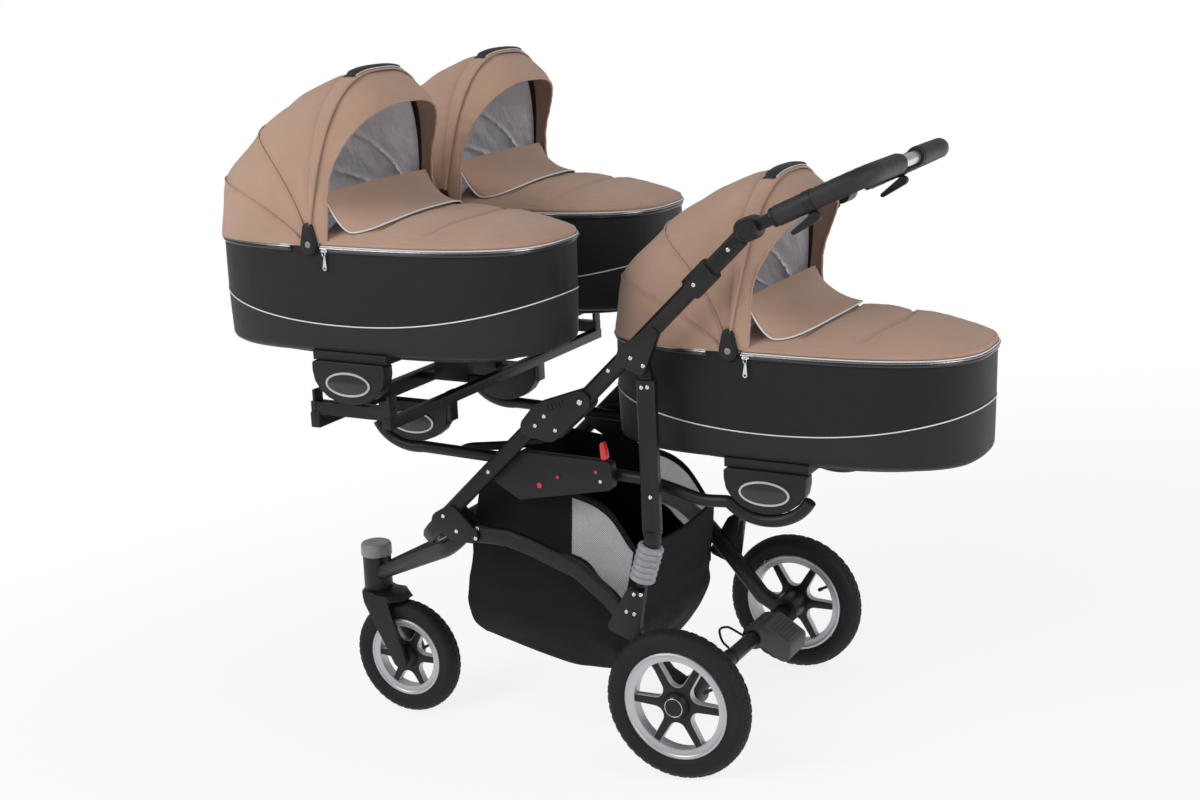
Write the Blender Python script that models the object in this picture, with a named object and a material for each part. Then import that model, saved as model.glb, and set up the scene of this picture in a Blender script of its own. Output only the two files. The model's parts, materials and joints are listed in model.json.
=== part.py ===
# Triple pram: three carrycots on a folding chassis with three wheels
#
# Metres, +Z up. The pram travels towards -Y, and +X is its left side.
# Everything is laid out in the chassis frame: its origin is the middle of the rear axle,
# y runs back, z runs up, and the frame leans back by chassis_tilt when the pram stands.

import math

import bmesh
import bpy
from mathutils import Vector

# Fits
gap = 0.0003
pivot_gap = 0.0005

# Wheels
rear_wheel_radius = 0.150
front_wheel_radius = 0.1325
track = 0.598
wheelbase = 0.8206
chassis_tilt = 0.153
tyre_width = 0.046
tread_width = 0.014
wheel_sides = 24
tyre_height = 0.0405
rim_width = 0.036
rim_depth = 0.019
hub_radius = 0.027
hub_width = 0.046
spoke_count = 6
spoke_width = 0.017
spoke_thickness = 0.015
axle_stub_radius = 0.006

# Carrycots
cot_length = 0.740
cot_width = 0.382
cot_height = 0.222
cot_squareness = 2.8
cot_wall = 0.012
cot_cavity_depth = 0.165
tub_depth_head = 0.172
tub_depth_foot = 0.199
tub_bottom_inset = 0.018
cot_base_length = 0.61
cot_base_width = 0.29
cot_wing_length = 0.17
cot_wing_thickness = 0.020
mattress_thickness = 0.030
front_cot_spacing = 0.4748
hinge_back = 0.0686
apron_start = -0.030
apron_edge = 0.012
apron_crown = 0.055
apron_thickness = 0.006
flap_half_width = 0.172
flap_thickness = 0.005
flap_top_y = -0.040
flap_top_z = 0.107
flap_length = 0.127
flap_corner_rise = 0.65
flap_clearance = 0.001
hood_thickness = 0.004
hood_side_angle = 97.0
hood_top_angle = 114.0
bow_angle = 97.2
bow_width = 0.024
bow_thickness = 0.004
grip_thickness = 0.014
grip_half_angle = 17.0
lug_radius = 0.019
lug_thickness = 0.008

# Seats of the carrycots: y and height of each receiver's flat top
rear_seat_y = 0.1385
rear_seat_z = 0.4447
rail_seat_y = -0.638
rail_seat_z = 0.5117
front_seat_y = -0.619
front_seat_z = 0.6467
receiver_length = 0.166
receiver_height = 0.083
receiver_thickness = 0.030
receiver_x = 0.180
badge_length = 0.105
badge_height = 0.050
badge_depth = 0.002

# Chassis
frame_x = 0.235
frame_tube_width = 0.022
front_tube_height = 0.030
arm_tube_height = 0.032
leg_height = 0.035
leg_width = 0.020
strut_depth = 0.038
strut_width = 0.020
rail_x = 0.190
rail_radius = 0.012
brace_radius = 0.009
plate_thickness = 0.0210
cheek_thickness = 0.007
axle_radius = 0.016
bellows_radius = 0.026
bellows_ribs = 5
lever_thickness = 0.014
tilt_disc_radius = 0.022
tilt_disc_clearance = 0.026
tilt_disc_thickness = 0.027
handle_radius = 0.012
handle_corner = 0.060
grip_wall = 0.0072
bare_handle = 0.10
swivel_back = 0.0714
head_radius = 0.032
head_height = 0.075
cap_height = 0.030
crown_height = 0.0185
tyre_clearance = 0.003
fork_leg_x = 0.036
fork_leg_thickness = 0.010

# Pivots and riveted joints of the chassis, as (y, z)
pivot_d = (-0.439, 0.395)
pivot_f = (-0.478, 0.262)
pivot_h = (-0.215, 0.562)
pivot_s1 = (-0.089, 0.639)
pivot_s2 = (-0.113, 0.165)
pivot_r1 = (-0.078, 0.382)
tilt_axis = (0.135, 0.908)
handle_end = (0.345, 1.005)

# Worked out from the sizes above
hub_drop = rear_wheel_radius - front_wheel_radius + wheelbase * math.sin(chassis_tilt)
front_hub_z = -hub_drop / math.cos(chassis_tilt)
crown_bottom = front_hub_z + front_wheel_radius + tyre_clearance
head_bottom = crown_bottom + crown_height + gap
swivel_y = -wheelbase - swivel_back
tube_inner_x = frame_x - frame_tube_width / 2
tube_outer_x = frame_x + frame_tube_width / 2
rail_outer_x = rail_x + rail_radius
plate_x0 = rail_outer_x + gap
plate_x1 = plate_x0 + plate_thickness
arm_ear_x = frame_x - leg_width / 2 - pivot_gap - cheek_thickness - gap
arm_ear_thickness = 0.014
arm_bar_width = 0.022
arm_bar_x = arm_ear_x - 0.0125
tongue_inner_x = frame_x - 0.0145
tongue_split_x = frame_x
tongue_outer_x = frame_x + 0.0148
seat_top_to_rim = cot_height + gap


def clear_scene():
    for obj in list(bpy.data.objects):
        bpy.data.objects.remove(obj, do_unlink=True)


def make_material(name, color, roughness, metallic=0.0):
    material = bpy.data.materials.new(name)
    material.use_nodes = True
    shader = material.node_tree.nodes["Principled BSDF"]
    shader.inputs["Base Color"].default_value = (*color, 1.0)
    shader.inputs["Roughness"].default_value = roughness
    shader.inputs["Metallic"].default_value = metallic
    return material


def add_empty(name, location, parent=None):
    """Location is in the chassis frame, and the parent's is taken off it."""
    empty = bpy.data.objects.new(name, None)
    bpy.context.scene.collection.objects.link(empty)
    empty.empty_display_size = 0.05
    empty["place"] = location
    empty.parent = parent
    before = Vector(parent["place"]) if parent and "place" in parent else Vector()
    empty.location = Vector(location) - before
    return empty


# Solids. Each function returns a bmesh that holds one closed shape, in the chassis frame


def closed_shape(rings, ring_closed=True, ends=True, wrap=False):
    """Joins rings of equally many points. Ends are capped, or the last ring joins the first."""
    bm = bmesh.new()
    rows = [[bm.verts.new(point) for point in ring] for ring in rings]
    count = len(rings[0])
    last = len(rows) if wrap else len(rows) - 1
    for i in range(last):
        a = rows[i]
        b = rows[(i + 1) % len(rows)]
        for k in range(count if ring_closed else count - 1):
            j = (k + 1) % count
            bm.faces.new((a[k], a[j], b[j], b[k]))
    if ends and not wrap:
        bm.faces.new(rows[0])
        bm.faces.new(rows[-1])
    bmesh.ops.remove_doubles(bm, verts=bm.verts, dist=1e-6)
    bmesh.ops.recalc_face_normals(bm, faces=bm.faces)
    return bm


def rounded_box(width, height, corner):
    """Section with chamfered corners, as (across, up)."""
    a = width / 2
    b = height / 2
    c = corner
    right = [(a, c - b), (a, b - c), (a - c, b)]
    left = [(c - a, b), (-a, b - c), (-a, c - b)]
    return right + left + [(c - a, -b), (a - c, -b)]


def round_section(radius, sides):
    steps = [2 * math.pi * k / sides for k in range(sides)]
    return [(radius * math.cos(t), radius * math.sin(t)) for t in steps]


def rounded_path(points, radius, steps=6):
    """The path with each inner corner turned into a curve that starts a radius before it."""
    points = [Vector(p) for p in points]
    path = [points[0]]
    for before, corner, after in zip(points, points[1:], points[2:]):
        reach = min(radius, (corner - before).length * 0.49, (after - corner).length * 0.49)
        start = corner + (before - corner).normalized() * reach
        end = corner + (after - corner).normalized() * reach
        for k in range(steps + 1):
            t = k / steps
            path.append(start * (1 - t) ** 2 + corner * 2 * t * (1 - t) + end * t * t)
    path.append(points[-1])
    return path


def sweep_rings(path, section, side=None, up=None):
    """The section at each point of the path, mitred. Either side (across) or up stays fixed."""
    rings = []
    for i, point in enumerate(path):
        into = (path[i] - path[i - 1]).normalized() if i else None
        out = (path[i + 1] - path[i]).normalized() if i + 1 < len(path) else None
        into = into or out
        out = out or into
        along = (into + out).normalized()
        across = Vector(side) if side else along.cross(Vector(up)).normalized()
        rise = across.cross(along).normalized()
        bend = out - into
        stretch = 1 / max(along.dot(out), 0.3) - 1
        bend = bend.normalized() if bend.length > 1e-6 else Vector()
        ring = []
        for a, b in section:
            offset = across * a + rise * b
            ring.append(point + offset + bend * (offset.dot(bend) * stretch))
        rings.append(ring)
    return rings


def tube(path, section, side=None, up=None):
    return closed_shape(sweep_rings([Vector(p) for p in path], section, side, up))


def sleeve(path, outer, inner, side=None, up=None):
    """An open-ended tube round another."""
    path = [Vector(p) for p in path]
    outside = sweep_rings(path, outer, side, up)
    inside = sweep_rings(path, inner, side, up)
    return closed_shape(outside + inside[::-1], ends=False, wrap=True)


def side_path(points, x):
    return [Vector((x, y, z)) for y, z in points]


def convex_outline(points):
    points = sorted(set((round(y, 7), round(z, 7)) for y, z in points))

    def half(chain):
        hull = []
        for p in chain:
            while len(hull) > 1:
                (ay, az), (by, bz) = hull[-2:]
                if (by - ay) * (p[1] - az) - (bz - az) * (p[0] - ay) > 1e-9:
                    break
                hull.pop()
            hull.append(p)
        return hull[:-1]

    return half(points) + half(points[::-1])


def discs_outline(discs, steps=16):
    """The outline pulled tight round discs, each (y, z, radius)."""
    points = []
    for y, z, radius in discs:
        for k in range(steps):
            t = 2 * math.pi * (k + 0.5) / steps
            points.append((y + radius * math.cos(t), z + radius * math.sin(t)))
    return convex_outline(points)


def slab(outline, x0, x1):
    return closed_shape([[(x0, y, z) for y, z in outline], [(x1, y, z) for y, z in outline]])


def block(low, high):
    (x0, y0, z0), (x1, y1, z1) = low, high
    return slab([(y0, z0), (y1, z0), (y1, z1), (y0, z1)], x0, x1)


def disc(place, radius, x0, x1, steps=20):
    return slab(discs_outline([(*place, radius)], steps), x0, x1)


def turned(profile, place, axis, steps, ring=False, first=None):
    """Turns (radius, height) points about an axis through the place. A ring's profile is a closed loop."""
    axis = Vector(axis).normalized()
    first = first or axis.orthogonal().normalized()
    second = axis.cross(first)
    rings = []
    for k in range(steps):
        t = 2 * math.pi * k / steps
        out = first * math.cos(t) + second * math.sin(t)
        rings.append([Vector(place) + out * r + axis * h for r, h in profile])
    if ring:
        return closed_shape(rings, ends=False, wrap=True)
    bm = closed_shape(rings, ring_closed=False, ends=False, wrap=True)
    bmesh.ops.holes_fill(bm, edges=bm.edges, sides=0)
    bmesh.ops.recalc_face_normals(bm, faces=bm.faces)
    return bm


def add_object(name, bm, body, side):
    """Makes the object, with its mesh measured from its body's joint."""
    place = Vector(body["place"])
    for vert in bm.verts:
        vert.co.x *= side
    bmesh.ops.translate(bm, vec=-place, verts=bm.verts)
    bmesh.ops.recalc_face_normals(bm, faces=bm.faces)
    mesh = bpy.data.meshes.new(name)
    bm.to_mesh(mesh)
    bm.free()
    mesh.shade_smooth()
    mesh.set_sharp_from_angle(angle=math.radians(35))
    obj = bpy.data.objects.new(name, mesh)
    bpy.context.scene.collection.objects.link(obj)
    obj.parent = body
    return obj


def add_piece(name, material, body, shapes, cuts=(), side=1):
    """One named piece: its shapes are joined into one body, then the cuts are taken out of it."""
    main = add_object(name, shapes[0], body, side)
    main.data.materials.append(material)
    for kind, group in (("join", shapes[1:]), ("cut", cuts)):
        for number, shape in enumerate(group, 1):
            helper = add_object(f"{name}_{kind}_{number}", shape, body, side)
            helper.hide_render = True
            helper.display_type = "WIRE"
            modifier = main.modifiers.new(f"{kind} {number}", "BOOLEAN")
            modifier.operation = "UNION" if kind == "join" else "DIFFERENCE"
            modifier.object = helper
    return main


# Wheels


def make_wheel(name, body, place, radius, mats):
    x, y, z = place
    inner = radius - tyre_height
    half = tyre_width / 2
    down = -chassis_tilt + math.pi / wheel_sides
    first = Vector((0, -math.sin(down), -math.cos(down)))
    tread = [(radius, tread_width / 2), (radius - 0.003, half * 0.62), (radius - 0.010, half * 0.92)]
    tread += [(radius - 0.021, half), (inner + 0.007, half * 0.80), (inner, rim_width * 0.40)]
    mirrored = [(r, -h) for r, h in tread[::-1]]
    tyre = turned(tread + mirrored, place, (1, 0, 0), wheel_sides, ring=True, first=first)
    add_piece(f"{name}_tyre", mats["tyre"], body, [tyre])

    outer = inner - gap
    lip = rim_width / 2
    low = outer - rim_depth
    ring = [(outer, -lip * 0.8), (outer, lip * 0.8), (outer - 0.004, lip), (low, lip * 0.7)]
    ring += [(low, -lip * 0.7), (outer - 0.004, -lip)]
    shapes = [turned(ring, place, (1, 0, 0), wheel_sides, ring=True, first=first)]
    hub_half = hub_width / 2
    hub_profile = [(0, -hub_half), (hub_radius * 0.7, -hub_half), (hub_radius, -hub_half * 0.6)]
    hub_profile += [(hub_radius, hub_half * 0.6), (hub_radius * 0.7, hub_half), (0, hub_half)]
    shapes.append(turned(hub_profile, place, (1, 0, 0), 16))
    for k in range(spoke_count):
        turn = 2 * math.pi * k / spoke_count
        start = hub_radius * 0.6
        end = low + rim_depth * 0.4
        wide = spoke_width / 2
        corners = [(start, -wide), (end, -wide * 0.75), (end, wide * 0.75), (start, wide)]
        outline = []
        for along, across in corners:
            step_y = along * math.cos(turn) - across * math.sin(turn)
            step_z = along * math.sin(turn) + across * math.cos(turn)
            outline.append((y + step_y, z + step_z))
        shapes.append(slab(outline, x - spoke_thickness / 2, x + spoke_thickness / 2))
    bore = disc((y, z), axle_stub_radius + gap, x - hub_width, x + hub_width, 12)
    add_piece(f"{name}_rim", mats["rim"], body, shapes, [bore])


# Carrycots


def superellipse(half_width, half_length, t):
    power = 2 / cot_squareness
    c = math.cos(t)
    s = math.sin(t)
    return (
        math.copysign(half_width * abs(c) ** power, c),
        math.copysign(half_length * abs(s) ** power, s),
    )


def tub_depth(y):
    """The cover is shallower over the head end, which is at -y."""
    share = min(max(-y / (cot_length / 2), 0.0), 1.0)
    smooth = share * share * (3 - 2 * share)
    return tub_depth_foot + (tub_depth_head - tub_depth_foot) * smooth


def tub_ring(center, inset, share, level, count=28):
    """A ring of the tub: share of its own depth, or a fixed level when share is None."""
    ring = []
    for k in range(count):
        x, y = superellipse(cot_width / 2 - inset, cot_length / 2 - inset, 2 * math.pi * (k + 0.5) / count)
        z = level if share is None else -share * tub_depth(y)
        ring.append((center[0] + x, center[1] + y, center[2] + z))
    return ring


def make_tub(name, material, body, center):
    low_edge = tub_bottom_inset
    outside = [
        tub_ring(center, 0.0, 0.0, 0),
        tub_ring(center, 0.002, 0.5, 0),
        tub_ring(center, low_edge * 0.45, 0.90, 0),
        tub_ring(center, low_edge, 0.97, 0),
        tub_ring(center, low_edge + 0.016, 1.0, 0),
    ]
    inside = [
        tub_ring(center, cot_wall * 2.2, None, -cot_cavity_depth),
        tub_ring(center, cot_wall * 1.5, None, -cot_cavity_depth + 0.02),
        tub_ring(center, cot_wall, None, 0),
    ]
    shell = closed_shape(inside + outside)
    x, y, z = center
    base_sides = 24
    base = []
    for inset, level in ((0.0, -cot_cavity_depth - 0.003), (0.0, -cot_height + 0.01), (0.010, -cot_height)):
        ring = []
        for k in range(base_sides):
            t = 2 * math.pi * (k + 0.5) / base_sides
            dx, dy = superellipse(cot_base_width / 2 - inset, cot_base_length / 2 - inset, t)
            ring.append((x + dx, y + dy, z + level))
        base.append(ring)
    wing_half = receiver_x + receiver_thickness / 2 - 0.007
    wing_low = (x - wing_half, y - cot_wing_length / 2, z - cot_height)
    wing_high = (x + wing_half, y + cot_wing_length / 2, z - cot_height + cot_wing_thickness)
    add_piece(name, material, body, [shell, closed_shape(base), block(wing_low, wing_high)])


def make_mattress(name, material, body, center):
    floor = -cot_cavity_depth + gap
    rings = []
    margin = cot_wall * 2.2 + 0.012
    for inset, level in ((0.006, 0.0), (0.0, 0.3), (0.0, 0.75), (0.010, 0.93), (0.045, 1.0)):
        rings.append(tub_ring(center, margin + inset, None, floor + mattress_thickness * level, 24))
    add_piece(name, material, body, [closed_shape(rings)])


def apron_height(x, y):
    """Height of the apron's upper side above the rim."""
    half_length = cot_length / 2
    reach = min(abs(y / half_length), 1.0)
    side = cot_width / 2 * (1 - reach**cot_squareness) ** (1 / cot_squareness)
    across = min(abs(x) / max(side, 1e-6), 1.0)
    along = min(max((y - apron_start) / (half_length - apron_start), 0.0), 1.0)
    crest = apron_edge + (apron_crown - apron_edge) * (1 - along**3.2)
    return apron_edge + (crest - apron_edge) * (1 - across**2.6)


def make_apron(name, material, body, center):
    """A crowned cover from under the flap to the foot end, drawn in to a line along its middle."""
    half_length = cot_length / 2
    outline = []
    start = math.asin((abs(apron_start) / half_length) ** (cot_squareness / 2))
    turns = 20
    for k in range(turns + 1):
        t = -start + (math.pi + 2 * start) * k / turns
        outline.append(superellipse(cot_width / 2 - 0.001, half_length - 0.001, t))
    head = [(cot_width / 2 * (k / 4 - 1), apron_start) for k in range(1, 8)]
    outline += head
    spine_low = apron_start
    spine_high = half_length * 0.72
    rings = []
    shares = (0.0, 0.35, 0.65, 0.88, 1.0)
    for layer, drop in ((shares, apron_thickness), (shares[::-1], 0.0)):
        for share in layer:
            ring = []
            for x, y in outline:
                middle = min(max(y, spine_low), spine_high)
                px = x * share
                py = middle + (y - middle) * share
                level = apron_height(px, py) - drop
                if share == 1.0 and drop:
                    level = gap
                ring.append((center[0] + px, center[1] + py, center[2] + max(level, gap)))
            rings.append(ring)
    add_piece(name, material, body, [closed_shape(rings, ends=False)])


def make_flap(name, material, body, center):
    """The wind flap: its upper edge stands in the hood's opening, its lower edge lies on the apron."""
    rows = 6
    columns = 11
    upper = []
    lower = []
    for j in range(columns):
        across = math.sin(math.pi * (j / (columns - 1) - 0.5))
        side_length = flap_length * (1 - flap_corner_rise * abs(across) ** 9)
        for i in range(rows):
            share = i / (rows - 1)
            x = flap_half_width * across * (1 - 0.04 * share)
            y = flap_top_y - 0.006 * across**2 + side_length * share
            floor = apron_height(x, max(y, apron_start))
            top = flap_top_z - 0.004 * across**2
            lift = (1 - share) ** 1.6
            level = floor + flap_clearance + (top - floor) * lift
            lower.append((center[0] + x, center[1] + y, center[2] + level))
            lean = flap_thickness * 0.6 * lift
            upper.append((center[0] + x, center[1] + y + lean, center[2] + level + flap_thickness))
    bm = bmesh.new()
    low = [bm.verts.new(p) for p in lower]
    high = [bm.verts.new(p) for p in upper]
    for j in range(columns - 1):
        for i in range(rows - 1):
            a = j * rows + i
            quad = (a, a + 1, a + rows + 1, a + rows)
            bm.faces.new([low[k] for k in quad[::-1]])
            bm.faces.new([high[k] for k in quad])
    edge = [j * rows for j in range(columns)]
    edge += [(columns - 1) * rows + i for i in range(1, rows)]
    edge += [j * rows + rows - 1 for j in range(columns - 2, -1, -1)]
    edge += [i for i in range(rows - 2, 0, -1)]
    for k, a in enumerate(edge):
        b = edge[(k + 1) % len(edge)]
        bm.faces.new((low[a], low[b], high[b], high[a]))
    bmesh.ops.recalc_face_normals(bm, faces=bm.faces)
    add_piece(name, material, body, [bm])


# The hood's middle line seen from the side, as (y, z) from the middle of the rim
hood_profile = [
    (-0.370, 0.0),
    (-0.3475, 0.120),
    (-0.2665, 0.201),
    (-0.1945, 0.259),
    (-0.1415, 0.289),
    (-0.0725, 0.309),
    (-0.0100, 0.312),
    (0.0280, 0.294),
    (0.0500, 0.263),
]


def hood_radius(angle):
    """Distance of the hood's middle line from its hinge, at degrees up from the head end."""
    stops = []
    for y, z in hood_profile:
        stops.append((math.degrees(math.atan2(z, -(y + hinge_back))), math.hypot(z, y + hinge_back)))
    stops[0] = (0.0, cot_length / 2 - hinge_back)
    if angle >= stops[-1][0]:
        return stops[-1][1]
    for (a0, r0), (a1, r1) in zip(stops, stops[1:]):
        if angle <= a1:
            share = (angle - a0) / (a1 - a0)
            smooth = share * share * (3 - 2 * share)
            return r0 + (r1 - r0) * (0.5 * share + 0.5 * smooth)
    return stops[-1][1]


def hood_point(center, angle, t, grow=0.0):
    """A point of the hood: angle in degrees up from the head end, t from one hinge to the other."""
    radius = hood_radius(angle) + grow
    x, reach = superellipse(cot_width / 2 + grow, radius, t)
    turn = math.radians(angle)
    return Vector(
        (
            center[0] + x,
            center[1] - hinge_back - reach * math.cos(turn),
            center[2] + gap + reach * math.sin(turn),
        )
    )


def make_hood(name, material, body, center):
    steps = 14
    bands = 8
    first = math.radians(2.0)
    outer = []
    inner = []
    for i in range(bands + 1):
        out_ring = []
        in_ring = []
        for k in range(steps + 1):
            t = first + (math.pi - 2 * first) * k / steps
            end = hood_side_angle + (hood_top_angle - hood_side_angle) * math.sin(t) ** 2
            angle = end * i / bands
            out_ring.append(hood_point(center, angle, t))
            in_ring.append(hood_point(center, angle, t, -hood_thickness))
        outer.append(out_ring)
        inner.append(in_ring)
    bm = bmesh.new()
    out_rows = [[bm.verts.new(p) for p in ring] for ring in outer]
    in_rows = [[bm.verts.new(p) for p in ring] for ring in inner]
    for i in range(bands):
        for k in range(steps):
            bm.faces.new((out_rows[i][k], out_rows[i][k + 1], out_rows[i + 1][k + 1], out_rows[i + 1][k]))
            bm.faces.new((in_rows[i][k], in_rows[i + 1][k], in_rows[i + 1][k + 1], in_rows[i][k + 1]))
        for k in (0, steps):
            bm.faces.new((out_rows[i][k], out_rows[i + 1][k], in_rows[i + 1][k], in_rows[i][k]))
    for i in (0, bands):
        for k in range(steps):
            bm.faces.new((out_rows[i][k], out_rows[i][k + 1], in_rows[i][k + 1], in_rows[i][k]))
    bmesh.ops.recalc_face_normals(bm, faces=bm.faces)
    add_piece(name, material, body, [bm])


def make_bow(name, material, body, center):
    """The bow over the hood: a strip with the carry handle on top, and a D-shaped end at each hinge."""
    steps = 24
    first = math.radians(2.0)
    rings = []
    radius = hood_radius(bow_angle)
    half = math.degrees(bow_width / 2 / radius)
    for k in range(steps + 1):
        t = first + (math.pi - 2 * first) * k / steps
        off_top = abs(math.degrees(t) - 90)
        thick = bow_thickness
        if off_top < grip_half_angle:
            thick = grip_thickness
        elif off_top < grip_half_angle + 6:
            thick = (grip_thickness + bow_thickness) / 2
        low = 0.0012
        ring = []
        section = [(-half, low), (half, low), (half, thick - 0.002), (half - 0.5, thick)]
        section += [(0.5 - half, thick), (-half, thick - 0.002)]
        for turn, grow in section:
            ring.append(hood_point(center, bow_angle + turn, t, grow))
        rings.append(ring)
    shapes = [closed_shape(rings)]
    x_in = cot_width / 2 + gap
    y = center[1] - hinge_back
    z = center[2]
    outline = discs_outline([(y, z + 0.004, lug_radius), (y, z + 0.034, lug_radius * 0.62)], 16)
    for side in (1, -1):
        x0 = center[0] + side * x_in
        shapes.append(slab(outline, x0, x0 + side * lug_thickness))
    add_piece(name, material, body, shapes)


def make_cot(name, center, frame, mats):
    body = add_empty(f"{name}_lift", center, frame)
    bow_body = add_empty(f"{name}_bow_hinge", (center[0], center[1] - hinge_back, center[2]), body)
    make_tub(f"{name}_tub", mats["tub"], body, center)
    make_mattress(f"{name}_mattress", mats["lining"], body, center)
    make_apron(f"{name}_apron", mats["fabric"], body, center)
    make_flap(f"{name}_wind_flap", mats["fabric"], body, center)
    make_hood(f"{name}_hood", mats["fabric"], body, center)
    make_bow(f"{name}_bow", mats["leather"], bow_body, center)


# Seats


def receiver_outline(y, z, length=receiver_length, height=receiver_height):
    """Flat on top, oval below."""
    half = length / 2
    shoulder = 0.020
    points = [(y - half + 0.004, z), (y + half - 0.004, z), (y + half, z - 0.004)]
    for k in range(11):
        t = math.pi * k / 10
        points.append((y + half * math.cos(t), z - shoulder - (height - shoulder) * math.sin(t)))
    points.append((y - half, z - 0.004))
    return points


def oval(y, z, length, height, steps=20):
    turns = [2 * math.pi * k / steps for k in range(steps)]
    return [(y + length / 2 * math.cos(t), z + height / 2 * math.sin(t)) for t in turns]


def make_receiver(name, material, body, side, x, y, z):
    x0 = x - receiver_thickness / 2
    x1 = x + receiver_thickness / 2
    badge = oval(y, z - receiver_height / 2, badge_length, badge_height)
    shapes = [slab(receiver_outline(y, z), x0, x1), slab(badge, x1 - 0.001, x1 + badge_depth)]
    add_piece(name, material, body, shapes, side=side)


# Chassis pieces. Left pieces are drawn, right ones are their mirror images


def cradle_path(y, z, start, end, steps=6):
    """Points of a rail that hugs the oval underside of a receiver, from angle start to end."""
    away = rail_radius + gap + 0.0004
    half = receiver_length / 2 + away
    shoulder = 0.020
    depth = receiver_height - shoulder + away
    points = []
    for k in range(steps + 1):
        t = math.radians(start + (end - start) * k / steps)
        points.append((y + half * math.cos(t), z - shoulder - depth * math.sin(t)))
    return points


def make_rail(name, material, body, side):
    path = cradle_path(rail_seat_y, rail_seat_z, 158, 78)
    path += [(pivot_d[0], 0.413), (-0.118, 0.403), (pivot_r1[0] + 0.02, pivot_r1[1] + 0.009)]
    path.append((0.010, 0.374))
    path += cradle_path(rear_seat_y, rear_seat_z, 142, 22)
    section = round_section(rail_radius, 10)
    boss = disc(pivot_r1, 0.010, rail_x, frame_x - strut_width / 2 - gap)
    bar = tube(side_path(path, rail_x), section, side=(1, 0, 0))
    add_piece(name, material, body, [bar, boss], side=side)


def make_side_plate(name, material, body, side):
    corners = [(*pivot_d, 0.017), (-0.364, 0.431, 0.010), (-0.178, 0.429, 0.010)]
    corners += [(-0.178, 0.392, 0.011), (-0.374, 0.352, 0.011)]
    shapes = [slab(discs_outline(corners), plate_x0, plate_x1)]
    for y, z in ((-0.324, 0.377), (-0.287, 0.398)):
        shapes.append(disc((y, z), 0.006, plate_x1 - 0.002, plate_x1 + 0.0015, 14))
    add_piece(name, material, body, shapes, side=side)


def make_red_lever(name, material, body, side):
    y, z = red_lever_pivot
    outline = discs_outline([(y, z, 0.0068), (y - 0.003, z + 0.024, 0.005)], 14)
    middle = (plate_x0 + plate_x1) / 2
    half = lever_thickness / 2
    add_piece(name, material, body, [slab(outline, middle - half, middle + half)], side=side)


def make_front_tube(name, material, body):
    """One U-shaped tube, with the bracket of each rear leg's front pivot fused to its sides."""
    top = (-0.300, 0.530)
    low = (-0.612, 0.2235)
    points = [(frame_x, *top), (frame_x, *low), (-frame_x, *low), (-frame_x, *top)]
    path = rounded_path(points, 0.075, 5)
    lean = Vector((0, top[1] - low[1], low[0] - top[0])).normalized()
    section = rounded_box(frame_tube_width, front_tube_height, 0.005)
    shapes = [tube(path, section, up=-lean)]
    for side in (1, -1):
        inner = side * (frame_x - leg_width / 2 - pivot_gap)
        outer = side * (frame_x + leg_width / 2 + pivot_gap)
        corners = [(*pivot_f, 0.017), (-0.547, 0.283, 0.022), (-0.523, 0.300, 0.020), (-0.52, 0.262, 0.016)]
        cheek = discs_outline(corners)
        shapes.append(slab(cheek, inner - side * cheek_thickness, inner))
        shapes.append(slab(cheek, outer, outer + side * cheek_thickness))
        web = discs_outline([(-0.547, 0.283, 0.016), (-0.535, 0.300, 0.012)])
        shapes.append(slab(web, inner - side * 0.001, outer + side * 0.001))
    add_piece(name, material, body, shapes)


def make_hinge_plate(name, material, body, side):
    """Two cheeks round the push arm's eye and the top of the front tube, joined below them."""
    outline = discs_outline(
        [(-0.328, 0.502, 0.021), (-0.284, 0.496, 0.020), (-0.305, 0.534, 0.018), (*pivot_h, 0.022)]
    )
    inner = tube_inner_x - pivot_gap
    outer = tube_outer_x + pivot_gap
    web = discs_outline([(-0.278, 0.494, 0.010), (-0.262, 0.510, 0.008)], 12)
    shapes = [
        slab(outline, inner - cheek_thickness, inner),
        slab(outline, outer, outer + cheek_thickness),
        slab(web, inner - 0.001, outer + 0.001),
    ]
    add_piece(name, material, body, shapes, side=side)


def along(start, end, distance):
    length = math.hypot(end[0] - start[0], end[1] - start[1])
    share = distance / length
    return (start[0] + (end[0] - start[0]) * share, start[1] + (end[1] - start[1]) * share)


def make_push_arm(name, material, body, side):
    length = math.hypot(tilt_axis[0] - pivot_h[0], tilt_axis[1] - pivot_h[1])
    stop = along(pivot_h, tilt_axis, length - tilt_disc_clearance)
    section = rounded_box(frame_tube_width, arm_tube_height, 0.006)
    shapes = [tube(side_path([pivot_h, stop], frame_x), section, side=(1, 0, 0))]
    shapes.append(disc(pivot_h, 0.0175, tube_inner_x, tube_outer_x))
    tongue = discs_outline([(*tilt_axis, 0.014), (*along(tilt_axis, pivot_h, 0.034), 0.013)])
    shapes.append(slab(tongue, tongue_inner_x + 0.004, tongue_split_x - gap / 2))
    shapes.append(disc(tilt_axis, tilt_disc_radius, tongue_inner_x - 0.006, tongue_split_x - gap / 2, 24))
    corners = [(*pivot_s1, 0.015), (-0.119, 0.668, 0.012), (-0.060, 0.705, 0.012), (-0.128, 0.650, 0.010)]
    shapes.append(slab(discs_outline(corners), tongue_split_x + gap / 2, tongue_outer_x))
    clamp = [along(pivot_h, tilt_axis, 0.325), along(pivot_h, tilt_axis, 0.385)]
    shapes.append(tube(side_path(clamp, frame_x), rounded_box(0.034, 0.044, 0.010), side=(1, 0, 0)))
    add_piece(name, material, body, shapes, side=side)


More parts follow.
